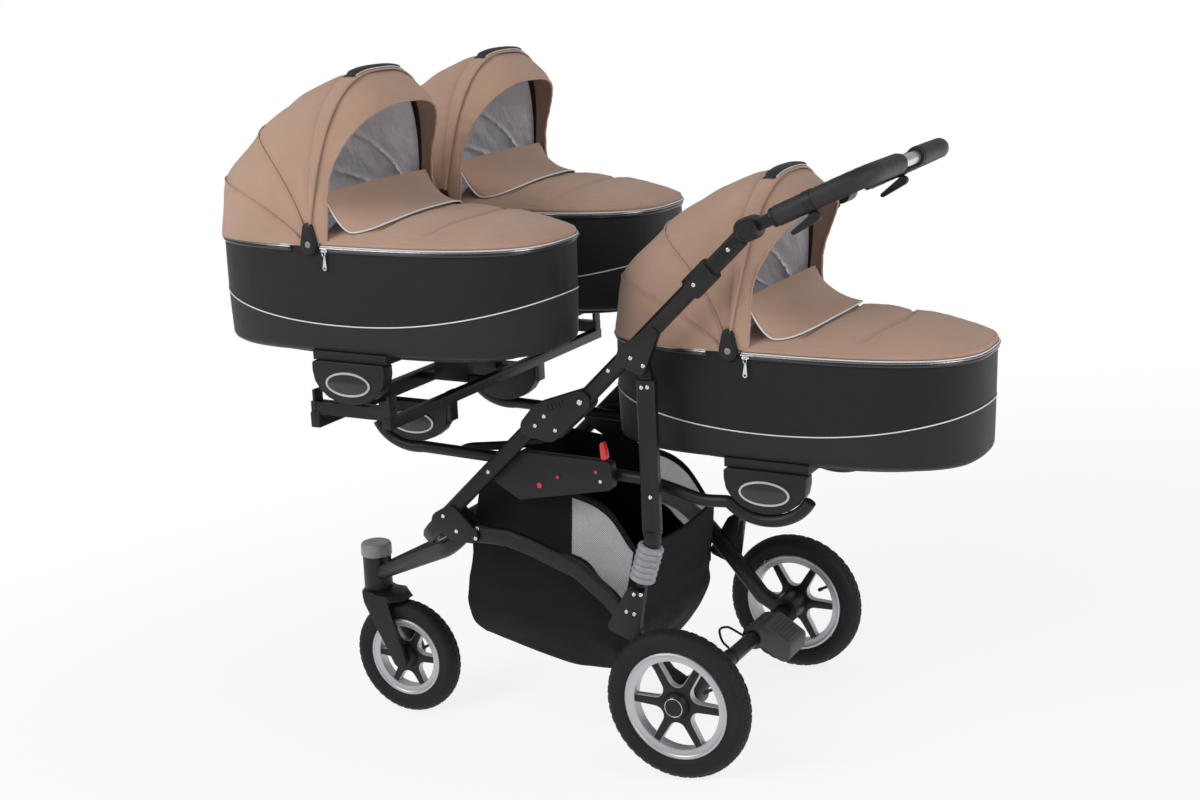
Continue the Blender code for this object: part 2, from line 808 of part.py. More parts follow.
def make_strut(name, material, body, side):
    """A flat tube with a slim rod below it, which the bellows covers, and a tongue at each end."""
    top = (-0.080, 0.613)
    section = rounded_box(strut_width, strut_depth, 0.004)
    shapes = [tube(side_path([top, (-0.077, 0.50), strut_foot], frame_x), section, side=(1, 0, 0))]
    upper = discs_outline([(*pivot_s1, 0.013), (-0.080, 0.600, 0.013)])
    shapes.append(slab(upper, tongue_inner_x, tongue_split_x - gap / 2))
    rod = [strut_foot, bellows_high, bellows_low, along(bellows_low, pivot_s2, 0.012)]
    shapes.append(tube(side_path(rod, frame_x), round_section(0.009, 12), side=(1, 0, 0)))
    length = math.hypot(bellows_high[0] - bellows_low[0], bellows_high[1] - bellows_low[1])
    collar = [(strut_foot[0], strut_foot[1] + 0.004), strut_foot]
    collar += [along(bellows_low, bellows_high, length + rise) for rise in (0.008, gap)]
    shapes.append(tube(side_path(collar, frame_x), round_section(0.017, 12), side=(1, 0, 0)))
    lower = discs_outline([(*pivot_s2, 0.011), (*along(bellows_low, pivot_s2, 0.014), 0.009)])
    shapes.append(slab(lower, tongue_inner_x, tongue_split_x - gap / 2))
    add_piece(name, material, body, shapes, side=side)


def make_bellows(name, material, body, side):
    low = Vector((frame_x, *bellows_low))
    high = Vector((frame_x, *bellows_high))
    length = (high - low).length
    profile = [(0.0125, 0.0)]
    for k in range(bellows_ribs):
        start = length * k / bellows_ribs
        step = length / bellows_ribs
        profile += [(bellows_radius - 0.004, start + step * 0.06), (bellows_radius, start + step * 0.3)]
        profile += [(bellows_radius, start + step * 0.7), (bellows_radius - 0.004, start + step * 0.94)]
    profile.append((0.0125, length))
    ring = turned(profile, low, high - low, 12, ring=True)
    add_piece(name, material, body, [ring], side=side)


def make_leg(name, material, body, side):
    """A curved rear leg with the strut's lower lug, the hub housing and the stub that carries the wheel."""
    path = [pivot_f, (-0.40, 0.262), (-0.346, 0.249), (-0.243, 0.215), (-0.174, 0.166), (-0.145, 0.135)]
    path += [(-0.109, 0.094), (-0.052, 0.027), (0, 0)]
    section = rounded_box(leg_width, leg_height, 0.005)
    shapes = [tube(side_path(path, frame_x), section, side=(1, 0, 0))]
    inner = frame_x - leg_width / 2
    outer = frame_x + leg_width / 2
    shapes.append(disc(pivot_f, 0.0170, inner, outer))
    corners = [(*pivot_s2, 0.013), (-0.123, 0.186, 0.010), (-0.104, 0.184, 0.010)]
    corners += [(-0.161, 0.115, 0.012), (-0.118, 0.100, 0.012)]
    shapes.append(slab(discs_outline(corners), tongue_split_x + gap / 2, tongue_outer_x))
    housing = track / 2 - hub_width / 2 - gap
    shapes.append(disc((0, 0), 0.030, inner, housing, 24))
    shapes.append(disc((0, 0), axle_stub_radius, housing - 0.002, track / 2 + hub_width / 2 + 0.002, 16))
    add_piece(name, material, body, shapes, side=side)


def make_rear_axle(name, material, body):
    reach = frame_x - leg_width / 2 - gap
    add_piece(name, material, body, [disc((0, 0), axle_radius, -reach, reach, 20)])


def make_pedal(name, material, body):
    """The parking brake's pedal turns on the axle tube, right of its middle."""
    ring = disc((0, 0), axle_radius + 0.009, pedal_x0, pedal_x1, 20)
    corners = [(0.022, 0.016, 0.014), (0.070, -0.012, 0.012)]
    corners += [(0.066, -0.030, 0.014), (0.018, -0.006, 0.012)]
    plate = discs_outline(corners, 14)
    bore = disc((0, 0), axle_radius + gap, pedal_x0 - 0.01, pedal_x1 + 0.01, 20)
    add_piece(name, material, body, [ring, slab(plate, pedal_x0 + 0.005, pedal_x1 - 0.005)], [bore])


def make_cable(name, material, body):
    """The brake's cable: a loop up from the pedal's housing, then along the axle to the left leg."""
    away = axle_radius + cable_radius + gap
    route = [(pedal_x1 + gap, -away, 0.006), (-0.052, -away, 0.006), (-0.045, -0.050, 0.024)]
    route += [(-0.035, -0.066, 0.020), (-0.018, -0.052, 0.000), (0.004, -away - 0.004, -0.004)]
    route += [(0.040, -away, 0.0), (0.120, -away, 0.0), (0.190, -away, 0.0)]
    route.append((frame_x - leg_width / 2 - gap, -away, 0.0))
    path = rounded_path(route, 0.012, 3)
    add_piece(name, material, body, [tube(path, round_section(cable_radius, 8), up=(0, 0.3, 1))])


def make_handle(name, material, body):
    """The U-shaped handle bar with the outer half of each tilt joint."""
    start = along(tilt_axis, handle_end, tilt_disc_clearance)
    path = handle_path(start)
    lean = Vector((0, -(handle_end[1] - tilt_axis[1]), handle_end[0] - tilt_axis[0])).normalized()
    shapes = [tube(path, round_section(handle_radius, 12), up=lean)]
    tongue = discs_outline([(*tilt_axis, 0.014), (*along(tilt_axis, handle_end, 0.036), 0.011)])
    for side in (1, -1):
        shapes.append(slab(tongue, side * (tongue_split_x + gap / 2), side * (tongue_outer_x - 0.003)))
        disc_x = (side * (tongue_split_x + gap / 2), side * (frame_x + tilt_disc_thickness))
        shapes.append(disc(tilt_axis, tilt_disc_radius, *disc_x, 24))
    add_piece(name, material, body, shapes)


def handle_path(start):
    end = handle_end
    points = [(frame_x, *start), (frame_x, *end), (-frame_x, *end), (-frame_x, *start)]
    return rounded_path(points, handle_corner, 5)


def make_grip(name, material, body, side):
    """The leather sleeve over one side of the handle, up to the bare stretch in the middle."""
    full = handle_path(along(tilt_axis, handle_end, 0.052))
    path = [p for p in full if p.x > bare_handle / 2]
    path.append(Vector((bare_handle / 2, *handle_end)))
    lean = Vector((0, -(handle_end[1] - tilt_axis[1]), handle_end[0] - tilt_axis[0])).normalized()
    inner = round_section(handle_radius + gap * 1.3, 12)
    outer = round_section(handle_radius + grip_wall, 12)
    add_piece(name, material, body, [sleeve(path, outer, inner, up=lean)], side=side)


def make_handle_lever(name, material, body, side):
    y, z = handle_lever_pivot
    step = Vector((handle_end[0] - tilt_axis[0], handle_end[1] - tilt_axis[1])).normalized()
    down = Vector((step.y, -step.x))
    tip = Vector((y, z)) - step * 0.050 + down * 0.010
    outline = discs_outline([(y, z, handle_lever_radius), (tip.x, tip.y, 0.0045)], 14)
    add_piece(name, material, body, [slab(outline, frame_x - 0.008, frame_x + 0.008)], side=side)


def make_cross_brace(name, material, body):
    reach = rail_x - rail_radius - gap
    height = 0.4145
    half = [(reach, -0.535), (0.150, -0.535), (0.105, -0.455), (0.05, -0.405)]
    points = [(x, y, height) for x, y in half] + [(-x, y, height) for x, y in half[::-1]]
    path = rounded_path(points, 0.045, 3)
    add_piece(name, material, body, [tube(path, round_section(brace_radius, 8), up=(0, 0, 1))])


def make_extension(name, material, body):
    """The frame that carries the two front cots: beams, crossbars, straps, posts and hanging plates."""
    beam_top = front_seat_z - receiver_height - gap
    bar_top = beam_top - 0.021
    bar = 0.020
    beam_x = front_cot_spacing / 2 + receiver_x
    y_front = -0.715
    y_rear = -0.538
    outer = beam_x + 0.0145
    shapes = [block((-outer, y_rear - bar / 2, bar_top - bar), (outer, y_rear + bar / 2, bar_top))]
    front_low = rail_seat_z + gap
    shapes.append(block((-outer, y_front, front_low), (outer, y_front + bar, bar_top)))
    inner_x = front_cot_spacing / 2 - receiver_x
    for side in (1, -1):
        beam_low = (side * (beam_x - 0.011), y_front, bar_top - 0.004)
        shapes.append(block(beam_low, (side * (beam_x + 0.011), y_rear + 0.010, beam_top)))
        for y in (front_seat_y - receiver_length / 2 - 0.0065, front_seat_y + receiver_length / 2 + 0.0005):
            strap_low = (side * (beam_x - 0.013), y, beam_top - 0.018)
            shapes.append(block(strap_low, (side * (beam_x + 0.013), y + 0.006, beam_top + 0.024)))
        strip_low = (side * (inner_x - 0.009), y_front, bar_top - 0.016)
        shapes.append(block(strip_low, (side * (inner_x + 0.009), y_rear, bar_top - 0.001)))
        post_low = (side * (inner_x - 0.015), front_seat_y - 0.040, bar_top - 0.010)
        post_high = (side * (inner_x + 0.015), front_seat_y + 0.040, front_seat_z)
        shapes.append(block(post_low, post_high))
        plate_y = rail_seat_y + receiver_length / 2 + gap
        plate_low = (side * (receiver_x - 0.014), plate_y, rail_seat_z - 0.034)
        plate_high = (side * (receiver_x + 0.014), y_rear - bar / 2 + 0.002, bar_top - 0.002)
        shapes.append(block(plate_low, plate_high))
    add_piece(name, material, body, shapes)


def make_front_arm(name, material, body):
    """Two bars from the front brackets to the swivel head, fused to it."""
    section = rounded_box(arm_bar_width, 0.030, 0.005)
    height = head_bottom + head_height * 0.55
    cap_radius = head_radius + 0.0015
    head = [(0, 0), (head_radius, 0), (head_radius, head_height), (cap_radius, head_height + 0.002)]
    head += [(cap_radius, head_height + cap_height * 0.6), (head_radius * 0.75, head_height + cap_height)]
    dimple = head_height + cap_height * 0.7
    head += [(head_radius * 0.6, head_height + cap_height), (head_radius * 0.55, dimple), (0, dimple)]
    shapes = [turned(head, (0, swivel_y, head_bottom), (0, 0, 1), 24)]
    for side in (1, -1):
        start = (side * arm_bar_x, -0.505, pivot_f[1])
        middle = (side * (arm_bar_x - 0.0035), -0.560, 0.209)
        end = (side * 0.016, swivel_y + head_radius * 0.6, height)
        path = rounded_path([start, middle, end], 0.045, 4)
        shapes.append(tube(path, section, up=(0, 0.3, 1)))
        ear = discs_outline([(-0.505, pivot_f[1], 0.016), (-0.538, pivot_f[1], 0.012)])
        shapes.append(slab(ear, side * (arm_ear_x - arm_ear_thickness), side * arm_ear_x))
    add_piece(name, material, body, shapes)


def make_fork(name, material, body):
    """The swivelling fork: a crown over the tyre, two leaning legs and the front axle's stubs."""
    hub = (-wheelbase, front_hub_z)
    top = crown_bottom + crown_height
    wide = fork_leg_x + fork_leg_thickness / 2
    crown = []
    levels = [(crown_bottom, 0.028, 0.078, wide), (top - 0.006, 0.030, 0.066, wide)]
    levels.append((top, 0.028, 0.040, 0.028))
    for level, front, rear, half in levels:
        nose = [(-half, -front * 0.6), (-half * 0.6, -front), (half * 0.6, -front), (half, -front * 0.6)]
        tail = [(half, rear * 0.7), (half * 0.5, rear), (-half * 0.5, rear), (-half, rear * 0.7)]
        crown.append([(x, swivel_y + y, level) for x, y in nose + tail])
    shapes = [closed_shape(crown)]
    for side in (1, -1):
        x0 = side * (fork_leg_x - fork_leg_thickness / 2)
        x1 = side * (fork_leg_x + fork_leg_thickness / 2)
        corners = [(swivel_y + 0.004, top - 0.0205, 0.020), (swivel_y + 0.030, top - 0.030, 0.020)]
        shapes.append(slab(discs_outline(corners + [(*hub, 0.017)]), x0, x1))
    shapes.append(disc(hub, axle_stub_radius, -fork_leg_x, fork_leg_x, 16))
    add_piece(name, material, body, shapes)


def make_basket(name, material, body):
    """A sagging fabric basket, open on top, that hangs between the front bracket and the rear legs."""
    front = [(-0.490, 0.372), (-0.508, 0.217), (-0.523, 0.078), (-0.510, 0.018)]
    rear = [(-0.160, 0.186), (-0.158, 0.120), (-0.158, 0.048), (-0.185, -0.016)]
    top_middle = [(-0.280, 0.330), (-0.285, 0.200), (-0.290, 0.088), (-0.330, -0.020)]
    spread = (0.172, 0.182, 0.187, 0.160)

    def ring(k, inset):
        (fy, fz), (my, mz), (ry, rz) = front[k], top_middle[k], rear[k]
        half = spread[k] - inset
        fy += inset
        ry -= inset
        fz += inset if k == 3 else 0
        mz += inset if k == 3 else 0
        rz += inset if k == 3 else 0
        corner = 0.022
        side = [(half, fy + corner, fz), (half, my, mz), (half, ry - corner, rz)]
        points = [(-half + corner, fy, fz), (0, fy - 0.004, fz), (half - corner, fy, fz)] + side
        points += [(half - corner, ry, rz), (0, ry + 0.003, rz), (-half + corner, ry, rz)]
        points += [(-x, y, z) for x, y, z in side[::-1]]
        return points

    outside = [ring(k, 0.0) for k in range(4)]
    inside = [ring(k, basket_wall) for k in range(4)]
    shapes = [closed_shape(inside[::-1] + outside)]
    for side in (1, -1):
        loop_low = (side * (spread[0] - 0.014), -0.506, pivot_f[1] - 0.012)
        loop_high = (side * (arm_bar_x - arm_bar_width / 2 - gap), -0.488, pivot_f[1] + 0.006)
        shapes.append(block(loop_low, loop_high))
    add_piece(name, material, body, shapes)


# Sizes that belong to one small piece
strut_foot = (-0.077, 0.312)
bellows_high = (-0.0797, 0.2875)
bellows_low = (-0.103, 0.213)
basket_wall = 0.003
cable_radius = 0.0025
pedal_x0 = -0.155
pedal_x1 = -0.060
red_lever_pivot = (-0.186, 0.4463)
handle_lever_radius = 0.009
handle_step = Vector((handle_end[0] - tilt_axis[0], handle_end[1] - tilt_axis[1])).normalized()
handle_drop = handle_radius + grip_wall + gap + handle_lever_radius
handle_lever_pivot = (
    tilt_axis[0] + handle_step.x * 0.125 + handle_step.y * handle_drop,
    tilt_axis[1] + handle_step.y * 0.125 - handle_step.x * handle_drop,
)


def make_materials():
    return {
        "tub": make_material("black_cover", (0.020, 0.020, 0.022), 0.6),
        "fabric": make_material("taupe_fabric", (0.445, 0.287, 0.209), 0.75),
        "lining": make_material("grey_lining", (0.55, 0.54, 0.57), 0.6),
        "leather": make_material("black_leather", (0.018, 0.018, 0.019), 0.45),
        "frame": make_material("black_frame", (0.014, 0.014, 0.015), 0.4),
        "plastic": make_material("black_plastic", (0.022, 0.022, 0.024), 0.5),
        "red": make_material("red_plastic", (0.62, 0.02, 0.03), 0.35),
        "rim": make_material("silver_rim", (0.55, 0.56, 0.58), 0.35, 0.4),
        "tyre": make_material("tyre_rubber", (0.018, 0.018, 0.018), 0.8),
        "bellows": make_material("grey_bellows", (0.32, 0.33, 0.35), 0.3),
        "silver": make_material("bare_tube", (0.6, 0.6, 0.62), 0.25, 1.0),
        "mesh": make_material("black_basket", (0.012, 0.012, 0.013), 0.85),
    }


def build():
    clear_scene()
    mats = make_materials()
    root = add_empty("pram", (0, 0, 0))
    chassis = add_empty("chassis", (0, 0, 0), root)
    chassis.location = (0, 0, rear_wheel_radius)
    chassis.rotation_euler = (-chassis_tilt, 0, 0)

    make_front_tube("front_frame_tube", mats["frame"], chassis)
    make_front_arm("front_arm", mats["frame"], chassis)
    make_basket("basket", mats["mesh"], chassis)

    push = add_empty("push_frame_hinge", (0, *pivot_h), chassis)
    tilt = add_empty("handle_tilt_hinge", (0, *tilt_axis), push)
    rails = add_empty("rail_frame_hinge", (0, *pivot_d), chassis)
    legs = add_empty("rear_leg_hinge", (0, *pivot_f), chassis)
    struts = add_empty("strut_hinge", (0, *pivot_s1), push)
    pedal = add_empty("brake_pedal_hinge", (0, 0, 0), legs)
    make_handle("handle_bar", mats["silver"], tilt)
    make_cross_brace("cross_brace", mats["frame"], rails)
    make_extension("extension_frame", mats["frame"], rails)
    make_rear_axle("rear_axle", mats["frame"], legs)
    make_cable("brake_cable", mats["plastic"], legs)
    make_pedal("brake_pedal", mats["plastic"], pedal)

    for side, hand in ((1, "left"), (-1, "right")):
        make_hinge_plate(f"{hand}_hinge_plate", mats["plastic"], chassis, side)
        make_push_arm(f"{hand}_push_arm", mats["frame"], push, side)
        make_strut(f"{hand}_strut", mats["frame"], struts, side)
        make_bellows(f"{hand}_strut_bellows", mats["bellows"], struts, side)
        make_leg(f"{hand}_rear_leg", mats["frame"], legs, side)
        make_rail(f"{hand}_rail", mats["frame"], rails, side)
        make_side_plate(f"{hand}_side_plate", mats["plastic"], rails, side)
        make_grip(f"{hand}_handle_grip", mats["leather"], tilt, side)
        lever = add_empty(f"{hand}_handle_lever_hinge", (side * frame_x, *handle_lever_pivot), tilt)
        make_handle_lever(f"{hand}_handle_lever", mats["plastic"], lever, side)
        red_x = side * (plate_x0 + plate_x1) / 2
        red = add_empty(f"{hand}_red_lever_hinge", (red_x, *red_lever_pivot), rails)
        make_red_lever(f"{hand}_fold_lever", mats["red"], red, side)
        seats = {
            "rear": (receiver_x, rear_seat_y, rear_seat_z),
            "rail": (receiver_x, rail_seat_y, rail_seat_z),
            "front": (front_cot_spacing / 2 + receiver_x, front_seat_y, front_seat_z),
        }
        for place, seat in seats.items():
            make_receiver(f"{hand}_{place}_receiver", mats["plastic"], rails, side, *seat)
        hub = (side * track / 2, 0, 0)
        wheel = add_empty(f"{hand}_wheel_axis", hub, legs)
        make_wheel(f"{hand}_wheel", wheel, hub, rear_wheel_radius, mats)

    swivel = add_empty("fork_swivel", (0, swivel_y, head_bottom), chassis)
    make_fork("front_fork", mats["plastic"], swivel)
    front_hub = (0, -wheelbase, front_hub_z)
    wheel = add_empty("front_wheel_axis", front_hub, swivel)
    make_wheel("front_wheel", wheel, front_hub, front_wheel_radius, mats)

    rise = seat_top_to_rim
    make_cot("left_cot", (front_cot_spacing / 2, front_seat_y, front_seat_z + rise), rails, mats)
    make_cot("right_cot", (-front_cot_spacing / 2, front_seat_y, front_seat_z + rise), rails, mats)
    make_cot("rear_cot", (0, rear_seat_y, rear_seat_z + rise), rails, mats)
    stand_on_origin(root)


def stand_on_origin(root):
    """Moves the whole pram so that the origin is under the middle of it, on the ground."""
    bpy.context.view_layer.update()
    graph = bpy.context.evaluated_depsgraph_get()
    low = Vector((1e9, 1e9, 1e9))
    high = -low
    for obj in bpy.data.objects:
        if obj.type != "MESH" or obj.hide_render:
            continue
        mesh = obj.evaluated_get(graph).to_mesh()
        for vert in mesh.vertices:
            point = obj.matrix_world @ vert.co
            low = Vector(map(min, low, point))
            high = Vector(map(max, high, point))
    root.location = (-(low.x + high.x) / 2, -(low.y + high.y) / 2, -low.z)


build()
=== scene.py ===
import json
import math

import bmesh
import bpy
from mathutils import Matrix, Vector, noise
from mathutils.bvhtree import BVHTree

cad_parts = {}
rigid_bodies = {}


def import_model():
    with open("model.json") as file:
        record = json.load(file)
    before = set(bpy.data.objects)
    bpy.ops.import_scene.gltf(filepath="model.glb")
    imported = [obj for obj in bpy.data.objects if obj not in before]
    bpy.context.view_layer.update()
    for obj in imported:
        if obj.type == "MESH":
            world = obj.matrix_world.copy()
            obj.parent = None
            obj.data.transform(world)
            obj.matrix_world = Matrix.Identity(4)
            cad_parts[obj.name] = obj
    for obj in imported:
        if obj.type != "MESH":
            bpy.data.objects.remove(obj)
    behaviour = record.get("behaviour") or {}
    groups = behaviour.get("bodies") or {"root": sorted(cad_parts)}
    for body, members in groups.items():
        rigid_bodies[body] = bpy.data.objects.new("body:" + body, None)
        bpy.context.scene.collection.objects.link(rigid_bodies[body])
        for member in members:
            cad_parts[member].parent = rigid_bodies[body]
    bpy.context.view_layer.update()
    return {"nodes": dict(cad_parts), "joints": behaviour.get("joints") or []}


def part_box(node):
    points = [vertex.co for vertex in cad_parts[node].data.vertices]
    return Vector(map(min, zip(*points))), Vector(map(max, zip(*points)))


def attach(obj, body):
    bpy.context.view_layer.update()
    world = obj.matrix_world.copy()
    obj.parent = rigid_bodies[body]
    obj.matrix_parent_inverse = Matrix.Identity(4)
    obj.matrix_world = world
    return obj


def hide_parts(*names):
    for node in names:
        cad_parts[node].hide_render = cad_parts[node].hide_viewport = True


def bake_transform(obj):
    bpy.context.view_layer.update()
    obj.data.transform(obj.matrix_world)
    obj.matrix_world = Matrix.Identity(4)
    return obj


for unused in list(bpy.data.objects):
    bpy.data.objects.remove(unused)
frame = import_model()
joints = {joint["name"]: joint for joint in frame["joints"]}

# The chassis leans back, so pieces are drawn level from the middle of the rear axle and then leant
swivelAxis = Vector(joints["fork_swivel"]["axis"])
rearAxle = Vector(joints["brake_press"]["pos_m"])
lean = math.atan2(swivelAxis.y, swivelAxis.z)
chassis = Matrix.Translation(rearAxle) @ Matrix.Rotation(-lean, 4, "X")
level = chassis.inverted()
upright = Matrix.Identity(4)
hands = ((1, "left"), (-1, "right"))
cots = ("left", "right", "rear")
print("frame: loaded,", len(frame["nodes"]), "nodes")


def jointPlace(name):
    return level @ Vector(joints[name]["pos_m"])


# Nodes

class Wire:
    # an output that can stand in an expression
    def __init__(self, graph, socket):
        self.graph = graph
        self.socket = socket

    def to(self, operation, *others):
        return self.graph.maths(operation, self, *others)

    def __add__(self, other):
        return self.to("ADD", other)

    def __sub__(self, other):
        return self.to("SUBTRACT", other)

    def __rsub__(self, other):
        return self.graph.maths("SUBTRACT", other, self)

    def __mul__(self, other):
        return self.to("MULTIPLY", other)

    def __gt__(self, other):
        return self.to("GREATER_THAN", other)

    def __lt__(self, other):
        return self.to("LESS_THAN", other)

    __radd__ = __add__
    __rmul__ = __mul__


class Graph:
    def __init__(self, tree):
        self.tree = tree

    def node(self, kind, settings=None, inputs=None, output=0):
        made = self.tree.nodes.new(kind)
        for key, value in (settings or {}).items():
            setattr(made, key, value)
        for key, value in (inputs or {}).items():
            self.plug(made.inputs[key], value)
        return Wire(self, made.outputs[output])

    def maths(self, operation, *values):
        return self.node("ShaderNodeMath", {"operation": operation}, dict(enumerate(values)))

    def plug(self, socket, value):
        if isinstance(value, Wire):
            self.tree.links.new(value.socket, socket)
        else:
            socket.default_value = value


class Finish(Graph):
    # a material: constants go straight on the shader's sockets
    def __init__(self, name, **constants):
        self.material = bpy.data.materials.new(name)
        self.material.use_nodes = True
        super().__init__(self.material.node_tree)
        self.shader = self.tree.nodes["Principled BSDF"]
        for key, value in constants.items():
            self.set(key, value)
        self.place = self.node("ShaderNodeTexCoord", output="Object")

    def set(self, key, value):
        name = "".join(" " + letter if letter.isupper() else letter for letter in key)
        self.plug(self.shader.inputs[name.strip().title().replace("I O R", "IOR")], value)

    def grain(self, scale, detail=2.0, rough=0.5, stretch=(1, 1, 1)):
        where = self.node("ShaderNodeMapping", inputs={"Vector": self.place, "Scale": stretch})
        return self.node("ShaderNodeTexNoise", None,
                         {"Vector": where, "Scale": scale, "Detail": detail, "Roughness": rough})

    def cells(self, scale, feature="F1", stretch=(1, 1, 1)):
        where = self.node("ShaderNodeMapping", inputs={"Vector": self.place, "Scale": stretch})
        return self.node("ShaderNodeTexVoronoi", {"feature": feature},
                         {"Vector": where, "Scale": scale})

    def axes(self):
        split = self.tree.nodes.new("ShaderNodeSeparateXYZ")
        self.plug(split.inputs[0], self.place)
        return [Wire(self, out) for out in split.outputs]

    def weave(self, pitch):
        # threads that cross on any face, whichever way it looks
        x, y, z = self.axes()
        turns = 2 * math.pi / pitch
        warp = (x * turns + z * turns).to("SINE")
        weft = (y * turns - z * (turns * 0.9)).to("SINE")
        return warp * weft

    def colors(self, factor, first, second):
        return self.node("ShaderNodeMix", {"data_type": "RGBA"},
                         {0: factor, 6: (*first, 1), 7: (*second, 1)}, 2)

    def tint(self, factor, wire, second):
        return self.node("ShaderNodeMix", {"data_type": "RGBA"},
                         {0: factor, 6: wire, 7: (*second, 1)}, 2)

    def bump(self, height, strength, distance):
        made = self.node("ShaderNodeBump", None,
                         {"Strength": strength, "Distance": distance, "Height": height})
        self.set("normal", made)


def shade(color, factor):
    return tuple(min(1.0, part * factor) for part in color)


# how far the broad patches of a finish go lighter and darker
clothFade = 0.14
smoothFade = 0.12


def cloth(name, color, pitch, roughness, sheen, crease):
    made = Finish(name, sheenWeight=sheen, sheenRoughness=0.45, specularIORLevel=0.22)
    threads = made.weave(pitch)
    broad = made.grain(7.0, 3.0, 0.6)
    fine = made.grain(900.0, 2.0, 0.7)
    worn = made.colors(broad, shade(color, 1 - clothFade), shade(color, 1 + clothFade))
    made.set("baseColor", made.tint((fine - 0.5) * 0.35 + threads * 0.06 + 0.08, worn,
                                    shade(color, 0.45)))
    made.set("roughness", fine * 0.2 + (roughness - 0.1))
    folds = made.grain(26.0, 3.0, 0.55, (1, 1, 1.7))
    made.bump(threads * 0.25 + fine * 0.5 + folds * crease, 0.55, 0.0012)
    return made


def smooth(name, color, roughness, grainSize, depth, **constants):
    made = Finish(name, **constants)
    grain = made.grain(grainSize, 2.0, 0.6)
    broad = made.grain(9.0, 3.0, 0.6)
    worn = made.colors(broad, shade(color, 1 - smoothFade), shade(color, 1 + smoothFade))
    made.set("baseColor", worn)
    made.set("roughness", broad * 0.14 + grain * 0.08 + (roughness - 0.11))
    made.bump(grain, depth, 0.0004)
    return made


def makeLeather():
    made = Finish("grainedLeather", specularIORLevel=0.45)
    cells = made.cells(520.0, "DISTANCE_TO_EDGE")
    broad = made.grain(14.0, 3.0, 0.6)
    worn = made.colors(broad, (0.0065, 0.0065, 0.0070), (0.0180, 0.0175, 0.0180))
    # painted shade: the colour goes darker in the grain's grooves, where the bump sinks
    made.set("baseColor", made.tint((cells < 0.06) * 0.6, worn, (0.004, 0.004, 0.004)))
    made.set("roughness", broad * 0.2 + 0.36)
    made.bump(cells.to("MINIMUM", 0.22), 0.6, 0.0016)
    return made


def makeLining():
    made = Finish("silverLining", sheenWeight=0.25, sheenRoughness=0.35, specularIORLevel=0.5)
    crush = made.grain(30.0, 5.0, 0.62, (1, 1, 0.6))
    creases = made.cells(24.0, "DISTANCE_TO_EDGE", (1.0, 0.7, 1.0))
    fine = made.grain(800.0, 2.0, 0.6)
    # the colour follows the crinkles: painted shade in their valleys and painted highlight on their
    # crests
    made.set("baseColor", made.colors(crush, (0.72, 0.70, 0.75), (0.96, 0.94, 0.98)))
    made.set("roughness", crush * 0.25 + 0.34)
    made.bump(crush * 1.6 + creases.to("MINIMUM", 0.2) * 0.8 + fine * 0.08, 0.6, 0.006)
    return made


def makeRubber():
    made = Finish("tyreRubber", specularIORLevel=0.28)
    dust = made.grain(24.0, 4.0, 0.7)
    grain = made.grain(1500.0, 2.0, 0.7)
    made.set("baseColor", made.colors(dust, (0.0055, 0.0055, 0.0055), (0.0140, 0.0135, 0.0135)))
    made.set("roughness", dust * 0.25 + 0.52)
    made.bump(grain, 0.4, 0.0006)
    return made


def makeBellows():
    made = Finish("clearBellows", transmissionWeight=0.55, alpha=0.9, IOR=1.4)
    broad = made.grain(30.0, 2.0, 0.5)
    made.set("baseColor", made.colors(broad, (0.42, 0.44, 0.47), (0.62, 0.63, 0.66)))
    made.set("roughness", broad * 0.12 + 0.22)
    made.bump(made.grain(400.0, 2.0, 0.5), 0.1, 0.0008)
    return made


def makeWindowNet():
    # fine threads with open gaps, so that what is behind shows through
    made = Finish("basketNet", specularIORLevel=0.2)
    y, z = made.axes()[1:]
    pitch = 0.0042
    slant = (y + z * 0.8) * (2 * math.pi / pitch)
    cross = (y * 0.9 - z) * (2 * math.pi / (pitch * 0.5))
    first = slant.to("SINE") > 0.30
    second = cross.to("SINE") > 0.78
    threads = first.to("MAXIMUM", second * 0.7)
    made.set("baseColor", made.colors(made.grain(40.0), (0.50, 0.50, 0.51), (0.64, 0.64, 0.65)))
    made.set("roughness", made.grain(300.0) * 0.2 + 0.6)
    made.set("alpha", threads * 0.45 + 0.35)
    made.bump(threads, 0.3, 0.0008)
    return made


